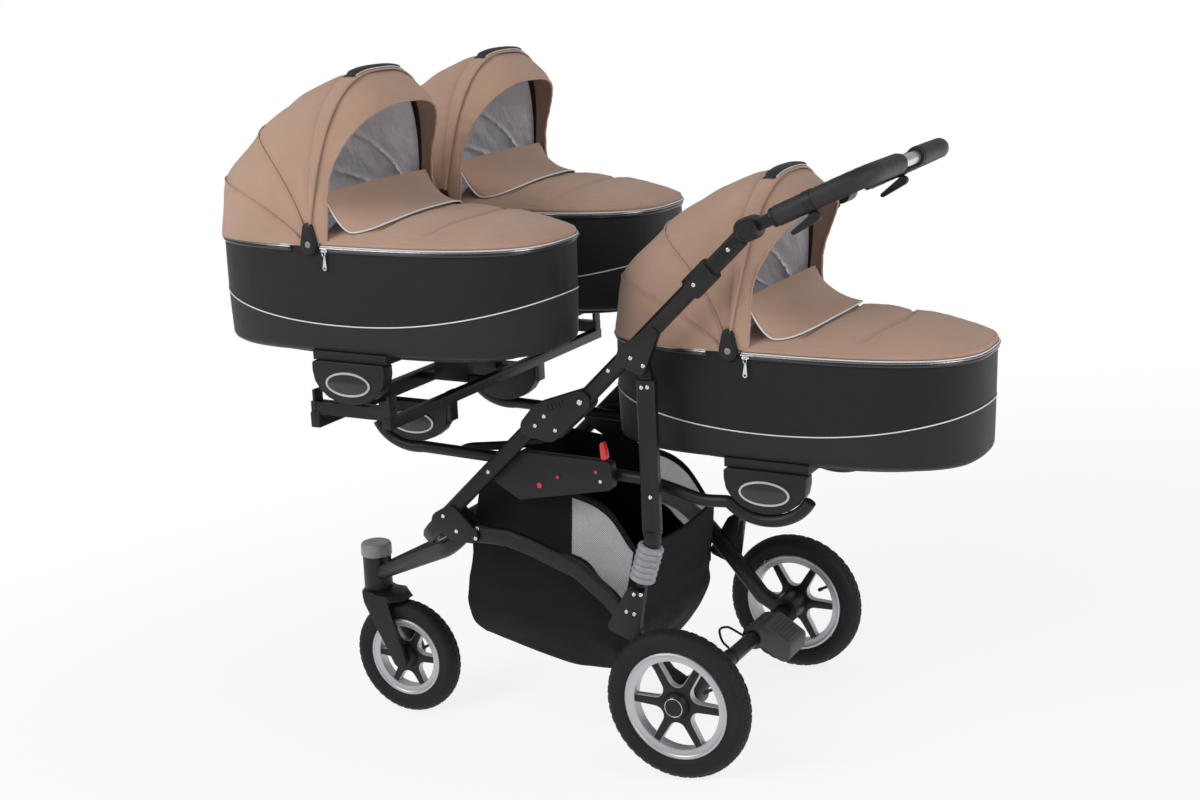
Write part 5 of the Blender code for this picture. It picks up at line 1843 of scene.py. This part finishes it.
def setRivets(name, spots, part, kind, size):
    # spots are (y, z); each goes on whatever stands outermost there, both sides
    found = {}
    for y, z in spots:
        for hand in (1, -1):
            seat = onChassis(y, z, hand)
            if seat:
                found.setdefault(seat[1], []).append((seat[0], (hand, 0, 0)))
    for body, places in found.items():
        made = studs(f"{body}_{name}", places, part, kind, size)
        carry(made, body)


# each group: its places as (y, z), its finish, its size
rivets = {
    "frame_rivets": ([(-0.2944, 0.5271), (-0.3153, 0.5064), (-0.2708, 0.5012), (-0.4322, 0.3984),
                      (-0.5403, 0.2956), (-0.5105, 0.2670), (-0.4660, 0.2757), (-0.4659, 0.2574)],
                     "steel", 1.0),
    "struts_rivets": ([(-0.1050, 0.6560), (-0.0792, 0.6430), (-0.0866, 0.5998), (-0.0740, 0.6013),
                       (-0.0745, 0.3862), (-0.1138, 0.1870), (-0.0990, 0.1880), (-0.1141, 0.1467),
                       (-0.1310, 0.1492)], "steel", 1.0),
    "arms_rivets": ([(0.0960, 0.8691), (0.0291, 0.8026), (-0.1550, 0.6270)], "steel", 1.0),
    "hinge_bolts": ([(-0.215, 0.562)], "steel", 1.4),
    "lock_rivets": ([(-0.1924, 0.3982)], "steel", 0.9),
    "lock_buttons": ([(-0.3278, 0.3763)], "red", 1.35),
    "small_buttons": ([(-0.2865, 0.3975), (-0.2020, 0.4164)], "red", 0.8),
}


def makeRivets():
    head = partObject(rivetHead())
    for group, (spots, kind, size) in rivets.items():
        setRivets(group, spots, head, kind, size)
    bpy.data.objects.remove(head)


makeRivets()

# raised ribs: each bar's length, width, height and taper, their spacing, and where the row runs
ribs = {
    "hingeBar": (0.0030, 0.0150, 0.0014),
    "hingeSpacing": 0.0082,
    "hingeFrom": (-0.2843, 0.5448),
    "hingeTo": (-0.2441, 0.5602),
    "pedalBar": (0.0034, 0.0740, 0.0016, 0.8),
    "pedalSpacing": 0.0078,
    "pedalFrom": (-0.1075, 0.0325, 0.0259),
    "pedalTo": (-0.1075, 0.0740, 0.0016),
    "pedalUp": (0, 0.5039, 0.8638),
}


def makeRibs():
    part = partObject(bar(*ribs["hingeBar"]))
    for hand, name in hands:
        first = onChassis(*ribs["hingeFrom"], hand)
        last = onChassis(*ribs["hingeTo"], hand)
        if first and last:
            lines = [([first[0], last[0]], False)]
            made = barsAlong(f"{name}_hinge_ribs", lines, part, ribs["hingeSpacing"], "plastic",
                             (hand, 0, 0), chassis)
            carry(made, "frame")
    bpy.data.objects.remove(part)
    part = partObject(bar(*ribs["pedalBar"]))
    lines = [([ribs["pedalFrom"], ribs["pedalTo"]], False)]
    made = barsAlong("pedal_ribs", lines, part, ribs["pedalSpacing"], "pedal", ribs["pedalUp"],
                     chassis)
    carry(made, "brake_pedal")
    bpy.data.objects.remove(part)


makeRibs()

rails = {
    "x": 0.190,
    "radius": 0.012,
    "clearance": 0.0007,
    # the receivers' lower half is an oval that the rail runs under
    "cradleHalf": 0.083,
    "cradleDepth": 0.063,
    "cradleDrop": 0.020,
    "cradleSteps": 14,
    "frontTurns": (158, 78),
    "rearTurns": (142, 22),
    "between": ((-0.439, 0.413), (-0.118, 0.403), (-0.058, 0.391), (0.010, 0.374)),
    "corner": 0.018,
    "brace": ((0.150, -0.535), (0.105, -0.455), (0.05, -0.405)),
    "braceHeight": 0.4145,
    "braceCorner": 0.045,
    "braceRadius": 0.009,
}


def cradle(seat, turns):
    away = rails["radius"] + rails["clearance"]
    y, z = seat[1:]
    start, end = turns
    steps = rails["cradleSteps"]
    points = []
    for k in range(steps + 1):
        t = math.radians(start + (end - start) * k / steps)
        points.append((y + (rails["cradleHalf"] + away) * math.cos(t),
                       z - rails["cradleDrop"] - (rails["cradleDepth"] + away) * math.sin(t)))
    return points


def makeRails():
    path = cradle(seats["rail_receiver"], rails["frontTurns"]) + list(rails["between"])
    path += cradle(seats["rear_receiver"], rails["rearTurns"])
    for hand, name in hands:
        line = rounded([(hand * rails["x"], y, z) for y, z in path], rails["corner"], 4)
        bm = cord(bmesh.new(), spaced(line, 0.002), rails["radius"], 20, (1, 0, 0))
        rail = piece(f"{name}_side_rail", bm, "coat", sharp=60)
        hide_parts(f"{name}_rail")
        carry(rail, "rails")
    half = [(rails["x"] - rails["radius"] + 0.002, rails["brace"][0][1]), *rails["brace"]]
    points = half + [(-x, y) for x, y in half[::-1]]
    line = rounded([(x, y, rails["braceHeight"]) for x, y in points], rails["braceCorner"], 8)
    brace = piece("rail_brace", cord(bmesh.new(), line, rails["braceRadius"], 16), "coat", sharp=60)
    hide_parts("cross_brace")
    carry(brace, "rails")


makeRails()


# halves of each oval's length and height, and how far it stands off the receiver's side
badge = {
    "out": 0.0172,
    "drop": 0.0415,
    "lineOuter": (0.0512, 0.0240),
    "lineInner": (0.0468, 0.0198),
    "lineHeight": 0.0018,
    "plate": (0.0466, 0.0196),
    "plateHeight": 0.0010,
}


def makeBadges():
    # a plain oval set in a bright line on the outside of each receiver
    for node, (x, y, z) in seats.items():
        def ellipse(name, sides):
            a, b = badge[name]
            return [(y + a * p, z - badge["drop"] + b * q) for p, q in circle(1.0, sides)]
        for hand, name in hands:
            face = x + badge["out"]
            inside = hand * (face - 0.001)
            bm = plate(bmesh.new(), [ellipse("lineOuter", 64), ellipse("lineInner", 64)], inside,
                       hand * (face + badge["lineHeight"]), 0.0006)
            carry(piece(f"{name}_{node}_line", bm, "silver", sharp=40), "rails")
            bm = plate(bmesh.new(), [ellipse("plate", 56)], inside,
                       hand * (face + badge["plateHeight"]), 0.0006)
            carry(piece(f"{name}_{node}_badge", bm, "gloss", sharp=40), "rails")


makeBadges()


# the handle; distances run from the tilt axis up along its side
handle = {
    "axis": (0.135, 0.908),
    "end": (0.345, 1.005),
    "radius": 0.012,
    "corner": 0.060,
    "bareHalf": 0.060,
    "tubeFrom": 0.026,
    "lugTo": 0.036,
    "lugRadii": (0.014, 0.011),
    "lugSpan": (0.0002, 0.0118),
    # (radius, how far outside the frame) of the tilt disc
    "disc": ((0.022, 0.0002), (0.022, 0.0248), (0.0212, 0.0262), (0.0196, 0.0270), (0.0165, 0.0268),
             (0.0158, 0.0258), (0.008, 0.0256)),
    "gripRadius": 0.0190,
    "gripFrom": 0.052,
    "gripStep": 0.0075,
    "gripRound": 0.0035,
    "gripWave": 0.00025,
    "collar": (0.117, 0.134),
    "collarStep": 0.0012,
    "seamRadius": 0.0011,
    "stitch": (0.0034, 0.0011, 0.0008),
    "stitchSpacing": 0.0052,
}


def alongHandle(distance):
    start = Vector(handle["axis"])
    end = Vector(handle["end"])
    return start + (end - start).normalized() * distance


def handleLine(start):
    end = handle["end"]
    points = [(frameX, *start), (frameX, *end), (-frameX, *end), (-frameX, *start)]
    return rounded(points, handle["corner"], 14)


def handleUp():
    # square to the handle's side
    end = Vector(handle["end"])
    axis = Vector(handle["axis"])
    return Vector((0, -(end.y - axis.y), end.x - axis.x)).normalized()


def makeHandle():
    end = handle["end"]
    axis = handle["axis"]
    up = handleUp()
    line = evenly(handleLine(alongHandle(handle["tubeFrom"])), 0.010)
    bare = handle["bareHalf"]
    tip = alongHandle(handle["lugTo"])
    low, high = handle["lugRadii"]
    outline = hull([(*axis, low), (*tip, high)])
    bm = bmesh.new()
    for hand in (1, -1):
        part = [p for p in line if p.x * hand > bare]
        part = part if hand > 0 else part[::-1]
        cord(bm, part + [Vector((hand * (bare - 0.004), *end))], handle["radius"], 24, up)
        plate(bm, [outline], *(hand * (frameX + out) for out in handle["lugSpan"]), 0.0012)
        disc = turned(bmesh.new(), [(radius, (frameX + out) * hand)
                                    for radius, out in handle["disc"]], 40)
        bmesh.ops.translate(disc, vec=(0, *axis), verts=disc.verts)
        joinInto(bm, disc)
    made = piece("handle_tube", bm, "coat", sharp=40)
    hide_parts("handle_bar")
    carry(made, "handle")
    middle = [Vector((bare * k / 6, *end)) for k in range(-6, 7)]
    bm = cord(bmesh.new(), middle, handle["radius"] - 0.0002, 28, up)
    carry(piece("bare_middle", bm, "bare", sharp=60), "handle")


def makeGrip(hand, name, whole):
    start = handle["gripFrom"]
    path = [p for p in whole if p.x * hand > start]
    path = (path if hand > 0 else path[::-1]) + [Vector((hand * (start - 0.002), *handle["end"]))]
    up = handleUp()
    reach = handle["gripRadius"]
    total = len(path) - 1

    def section(share):
        near = min(share, 1 - share) * total * handle["gripStep"]
        radius = reach - handle["gripRound"] * (1 - ease(near / 0.008)) ** 2
        wave = handle["gripWave"] * math.sin(share * 90)
        return [(a * (radius + wave), b * (radius + wave)) for a, b in circle(1.0, 28)]

    grip = piece(f"{name}_leather_grip", sweep(bmesh.new(), path, section, up), "leather", sharp=60)
    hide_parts(f"{name}_handle_grip")
    carry(grip, "handle")
    seam = []
    for i, p in enumerate(path[1:-1], 1):
        across = (path[i + 1] - path[i - 1]).normalized().cross(up).normalized() * hand
        seam.append(p - up * (reach * 0.94) + across * (reach * 0.30))
    bm = cord(bmesh.new(), seam, handle["seamRadius"], 6, up)
    carry(piece(f"{name}_grip_seam", bm, "leather"), "handle")
    stitch = partObject(bar(*handle["stitch"]))
    lines = [([p - up * 0.0003 for p in seam], False)]
    thread = barsAlong(f"{name}_grip_stitches", lines, stitch, handle["stitchSpacing"], "grey",
                       tuple(-up), chassis)
    carry(thread, "handle")
    bpy.data.objects.remove(stitch)
    bm = bmesh.new()
    for a, b in ((path[0], path[1]), (path[-1], path[-2])):
        away = (a - b).normalized()
        cord(bm, [a + away * 0.0035, a - away * 0.002], reach - handle["collarStep"], 28, up)
    collar = [Vector((hand * frameX, *alongHandle(distance))) for distance in handle["collar"]]
    cord(bm, collar, reach + handle["collarStep"], 28, up)
    carry(piece(f"{name}_grip_collars", bm, "plastic", sharp=40), "handle")


def makeGrips():
    whole = evenly(handleLine(alongHandle(handle["gripFrom"])), handle["gripStep"])
    for hand, name in hands:
        makeGrip(hand, name, whole)


makeHandle()
makeGrips()
print("handle: tube, bare middle and leather grips")


bellows = {
    "low": (-0.103, 0.213),
    "high": (-0.0797, 0.2875),
    "radius": 0.026,
    "inset": 0.0042,
    "ribs": 6,
    "ribDepth": 0.0040,
    "neck": 0.003,
    "wall": 0.0014,
    "springRadius": 0.0168,
    "springWire": 0.0013,
    "springSteps": 150,
    "stepsPerTurn": 24,
}


def makeBellowsPiece(hand, name):
    low = Vector((hand * frameX, *bellows["low"]))
    high = Vector((hand * frameX, *bellows["high"]))
    length = (high - low).length
    outer = []
    count = bellows["ribs"] * 8
    for k in range(count + 1):
        share = k / count
        wave = abs(math.sin(math.pi * share * bellows["ribs"])) ** 0.7
        neck = ease(min(share, 1 - share) / 0.05)
        ribbed = bellows["radius"] - bellows["inset"] + bellows["ribDepth"] * wave
        outer.append((ribbed - bellows["neck"] * (1 - neck), length * share))
    inner = [(r - bellows["wall"], h) for r, h in outer[::-1]]
    bm = turned(bmesh.new(), outer + inner, 40, ring=True)
    aim = (high - low).normalized()
    side = Vector((0, -aim.z, aim.y))
    turn = Matrix(((aim.x, 1, side.x, low.x), (aim.y, 0, side.y, low.y), (aim.z, 0, side.z, low.z),
                   (0, 0, 0, 1)))
    bmesh.ops.transform(bm, matrix=turn, verts=bm.verts)
    bmesh.ops.recalc_face_normals(bm, faces=bm.faces)
    made = piece(f"{name}_clear_bellows", bm, "bellows", sharp=70)
    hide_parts(f"{name}_strut_bellows")
    carry(made, "struts")
    bm = bmesh.new()
    coil = []
    wide = bellows["springRadius"]
    for k in range(bellows["springSteps"]):
        t = 2 * math.pi * k / bellows["stepsPerTurn"]
        up = low.lerp(high, 0.04 + 0.92 * k / (bellows["springSteps"] - 1))
        coil.append(up + Vector((math.cos(t), 0, 0)) * wide + side * (math.sin(t) * wide))
    cord(bm, coil, bellows["springWire"], 6, aim)
    carry(piece(f"{name}_spring", bm, "steel"), "struts")


for hand, name in hands:
    makeBellowsPiece(hand, name)


# the brake cable, from the middle of the axle: along its front face, with a loop at the pedal
cable = {
    "radius": 0.0025,
    "axleRadius": 0.016,
    "clearance": 0.0004,
    "ends": ((-0.0600, 0.006), (-0.052, 0.006)),
    "loop": ((-0.045, -0.050, 0.024), (-0.035, -0.066, 0.020), (-0.018, -0.052, 0.000)),
    "settle": (0.004, -0.004),
    "along": (0.040, 0.120, 0.190, 0.226),
    "corner": 0.014,
    "ties": (0.055, 0.150),
    "tieRadius": 0.0168,
    "tieBack": -0.0008,
    "tieSpacing": 0.0022,
    "tieWire": 0.0009,
}


def makeCable():
    away = cable["axleRadius"] + cable["radius"] + cable["clearance"]
    settleX, settleZ = cable["settle"]
    route = [(x, -away, z) for x, z in cable["ends"]] + list(cable["loop"])
    route += [(settleX, -away - 0.004, settleZ)] + [(x, -away, 0.0) for x in cable["along"]]
    path = evenly(rounded(route, cable["corner"], 8), 0.004)
    made = piece("brake_line", cord(bmesh.new(), path, cable["radius"], 12, (0, 0.3, 1)), "plastic")
    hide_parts("brake_cable")
    carry(made, "rear_legs")
    bm = bmesh.new()
    wide = cable["tieRadius"]
    for place in cable["ties"]:
        for winding in (-1, 0, 1):
            ring = [(place + cable["tieSpacing"] * winding, wide * a + cable["tieBack"], wide * b)
                    for a, b in circle(1.0, 28)]
            cord(bm, ring, cable["tieWire"], 6, (1, 0, 0), closed=True)
    carry(piece("cable_ties", bm, "plastic"), "rear_legs")


makeCable()


swivelCap = {
    "y": -0.892,
    # (radius, height) from the skirt over the top into the dimple
    "profile": ((0.0338, 0.0880), (0.0347, 0.0895), (0.0347, 0.1080), (0.0340, 0.1120),
                (0.0318, 0.1155), (0.0280, 0.1170), (0.0150, 0.1172), (0.0120, 0.1160),
                (0.0070, 0.1156)),
}


def makeSwivelCap():
    # the grey cap over the front wheel's swivel, with a dimple in its top
    bm = turned(bmesh.new(), swivelCap["profile"], 48)
    turn = Matrix(((0, 0, 1, 0), (0, 1, 0, swivelCap["y"]), (1, 0, 0, 0), (0, 0, 0, 1)))
    bmesh.ops.transform(bm, matrix=turn, verts=bm.verts)
    bmesh.ops.recalc_face_normals(bm, faces=bm.faces)
    carry(piece("swivel_cap", bm, "grey", sharp=50), "frame")


makeSwivelCap()


# Basket: a sagging bag of cloth between the front bracket and the rear legs, with net windows

# its section at four heights, from the rim to the floor, as (y, z)
basket = {
    "front": ((-0.490, 0.372), (-0.508, 0.217), (-0.523, 0.078), (-0.510, 0.018)),
    "middle": ((-0.283, 0.350), (-0.283, 0.214), (-0.295, 0.088), (-0.330, -0.016)),
    "late": ((-0.205, 0.322), (-0.220, 0.168), (-0.225, 0.070), (-0.255, -0.018)),
    "rear": ((-0.128, 0.252), (-0.150, 0.126), (-0.158, 0.052), (-0.185, -0.014)),
    "spread": (0.172, 0.182, 0.187, 0.160),
    "corner": 0.022,
    "thickness": 0.0022,
    "centreY": -0.33,
    "sag": 0.006,
    "crease": 0.0045,
    "creaseSize": 0.075,
    "floorSag": 0.010,
    "levels": 9,
    "around": 6,
    "floorRings": 7,
    # the windows lie between these corners of the section
    "windows": ((4, 6), (10, 12)),
    "hemRadius": 0.0042,
    "bindingRadius": 0.0016,
    "straps": ((-0.505, 0.262), (-0.150, 0.150)),
    "strapHalf": (0.009, 0.001),
    "strapInset": 0.006,
}


def basketRing(k):
    (fy, fz), (my, mz), (ly, lz), (ry, rz) = (basket[name][k]
                                              for name in ("front", "middle", "late", "rear"))
    half = basket["spread"][k]
    corner = basket["corner"]
    side = [(half, fy + corner, fz), (half, my, mz), (half, ly, lz), (half, ry - corner, rz)]
    points = [(-half + corner, fy, fz), (0, fy - 0.004, fz - 0.004), (half - corner, fy, fz)] + side
    points += [(half - corner, ry, rz), (0, ry + 0.003, rz - 0.010), (-half + corner, ry, rz)]
    return points + [(-x, y, z) for x, y, z in side[::-1]]


def basketRows():
    columns = [curved([basketRing(k)[i] for k in range(4)], basket["levels"]) for i in range(14)]
    rows = []
    for i in range(len(columns[0])):
        ring = curved([column[i] for column in columns], basket["around"], closed=True)
        down = i / (len(columns[0]) - 1)
        middle = Vector((0, basket["centreY"], ring[0].z))
        sag = basket["sag"] * math.sin(math.pi * down) ** 0.8
        line = []
        for p in ring:
            out = Vector((p.x, (p.y - middle.y) * 0.8, 0)).normalized()
            wave = ripple((p.x * 0.6, p.y, p.z * 2.2), basket["creaseSize"], 3.0)
            line.append(p + out * (sag + basket["crease"] * wave * min(1.0, down * 4)))
        rows.append(line)
    low = rows[-1]
    centre = sum(low, Vector()) / len(low)
    for i in range(1, basket["floorRings"] + 1):
        share = 1 - i / (basket["floorRings"] + 0.12)
        drop = basket["floorSag"] * (1 - share ** 3)
        rows.append([centre + (p - centre) * share
                     - Vector((0, 0, drop - 0.002 * ripple(p * share, 0.08, 7.0)))
                     for p in low])
    return rows


def makeBasket():
    rows = basketRows()
    levels = basket["levels"]
    around = basket["around"]
    windows = [(first * around, last * around) for first, last in basket["windows"]]

    def kind(i, k):
        inWindow = 1 <= i < levels - 1 and any(first <= k < last for first, last in windows)
        return (1, 1) if inWindow else (0, 0)

    bm = sheetShell(bmesh.new(), rows, basket["thickness"], kind, ring=True)
    bag = piece("basket_cloth", bm, "basket", "net", sharp=70)
    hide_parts("basket")
    carry(bag, "frame")
    hem = [p + Vector((0, 0, 0.001)) for p in rows[0]]
    bm = cord(bmesh.new(), hem, basket["hemRadius"], 10, closed=True)
    a, b = basket["strapHalf"]
    for side in (1, -1):
        x = side * (basket["spread"][0] - basket["strapInset"])
        for y, z in basket["straps"]:
            strap = [(x, y, z - 0.034), (x + side * 0.004, y, z),
                     (x + side * 0.010, y + 0.002, z + 0.012)]
            sweep(bm, curved(strap, 5), lambda share: [(a, b), (-a, b), (-a, -b), (a, -b)],
                  (side, 0, 0))
    carry(piece("basket_hem", bm, "basket", sharp=60), "frame")
    bm = bmesh.new()
    radius = basket["bindingRadius"]
    for first, last in windows:
        line = [p + Vector((math.copysign(radius, p.x), 0, 0))
                for p in rows[levels][first - 1:last + 2]]
        cord(bm, evenly(line, 0.004), radius, 8, (1, 0, 0.2))
    carry(piece("basket_binding", bm, "piping"), "frame")
    return bag


basketCloth = makeBasket()
print("basket: cloth, hem and binding")


# Floor, light and camera

stage = {
    "floor": (0.90, 0.90, 0.90),
    "size": 40,
    "glow": 0.84,
    "fadeFrom": 0.9,
    "fadeTo": 3.6,
    "background": 1.0,
    "fill": 0.40,
}


def makeFloor():
    bm = bmesh.new()
    bmesh.ops.create_grid(bm, x_segments=1, y_segments=1, size=stage["size"])
    mesh = bpy.data.meshes.new("floor")
    bm.to_mesh(mesh)
    bm.free()
    floor = linked("floor", mesh)
    finish = Finish("paleFloor", specularIORLevel=0.15)
    finish.set("baseColor", (*stage["floor"], 1))
    finish.set("roughness", 0.7)
    x, y = finish.axes()[:2]
    away = (x * x + y * y).to("SQRT")
    share = finish.node("ShaderNodeMapRange", {"interpolation_type": "SMOOTHSTEP"},
                        {"Value": away, "From Min": stage["fadeFrom"], "From Max": stage["fadeTo"],
                         "To Min": stage["glow"]})
    glow = finish.node("ShaderNodeEmission", None,
                       {"Color": (1, 1, 1, 1), "Strength": stage["background"]})
    end = finish.tree.nodes["Material Output"]
    shader = Wire(finish, finish.shader.outputs[0])
    mixed = finish.node("ShaderNodeMixShader", None, {0: share, 1: shader, 2: glow})
    finish.plug(end.inputs["Surface"], mixed)
    mesh.materials.append(finish.material)


def makeWorld():
    world = bpy.data.worlds.new("studio")
    bpy.context.scene.world = world
    world.use_nodes = True
    graph = Graph(world.node_tree)
    rays = graph.tree.nodes.new("ShaderNodeLightPath")
    seen = [Wire(graph, rays.outputs[name]) for name in ("Is Camera Ray", "Is Transmission Ray")]
    share = seen[0].to("MAXIMUM", seen[1])
    strength = share * (stage["background"] - stage["fill"]) + stage["fill"]
    graph.plug(graph.tree.nodes["Background"].inputs["Color"], (1, 1, 1, 1))
    graph.plug(graph.tree.nodes["Background"].inputs["Strength"], strength)


# each lamp: its place, its aim, its width and height, its watts
lamps = {
    "key": ((3.0, -2.0, 3.6), (0, 0, 0.6), (2.6, 2.6), 105),
    "side": ((1.0, 4.2, 2.4), (0, 0, 0.6), (2.4, 2.4), 75),
}


def makeLamp(name, place, aim, size, watts):
    lamp = bpy.data.lights.new(name, "AREA")
    lamp.shape = "RECTANGLE"
    lamp.size = size[0]
    lamp.size_y = size[1]
    lamp.energy = watts
    aim = (Vector(place) - Vector(aim)).to_track_quat("Z", "Y").to_matrix().to_4x4()
    linked(name, lamp).matrix_world = Matrix.Translation(place) @ aim


# the camera, from the middle of the rear axle; angles in radians
view = {
    "from": (3.1920, 1.6086, 1.1924),
    "yaw": 3.6635,
    "pitch": -0.1759,
    "roll": -0.1736,
    "lens": 54.66,
    "sensor": 36,
}


def makeCamera():
    yaw, pitch = view["yaw"], view["pitch"]
    look = Vector((math.cos(yaw) * math.cos(pitch), math.sin(yaw) * math.cos(pitch),
                   math.sin(pitch)))
    right = look.cross(Vector((0, 0, 1))).normalized()
    up = right.cross(look)
    c, s = math.cos(view["roll"]), math.sin(view["roll"])
    camera = linked("camera", bpy.data.cameras.new("camera"))
    camera.data.sensor_width = view["sensor"]
    camera.data.lens = view["lens"]
    axes = Matrix((right * c + up * s, up * c - right * s, -look)).transposed().to_4x4()
    camera.matrix_world = Matrix.Translation(rearAxle + Vector(view["from"])) @ axes
    bpy.context.scene.camera = camera


makeFloor()
makeWorld()
for name, lamp in lamps.items():
    makeLamp(name, *lamp)
makeCamera()
bpy.context.scene.view_settings.view_transform = "Standard"
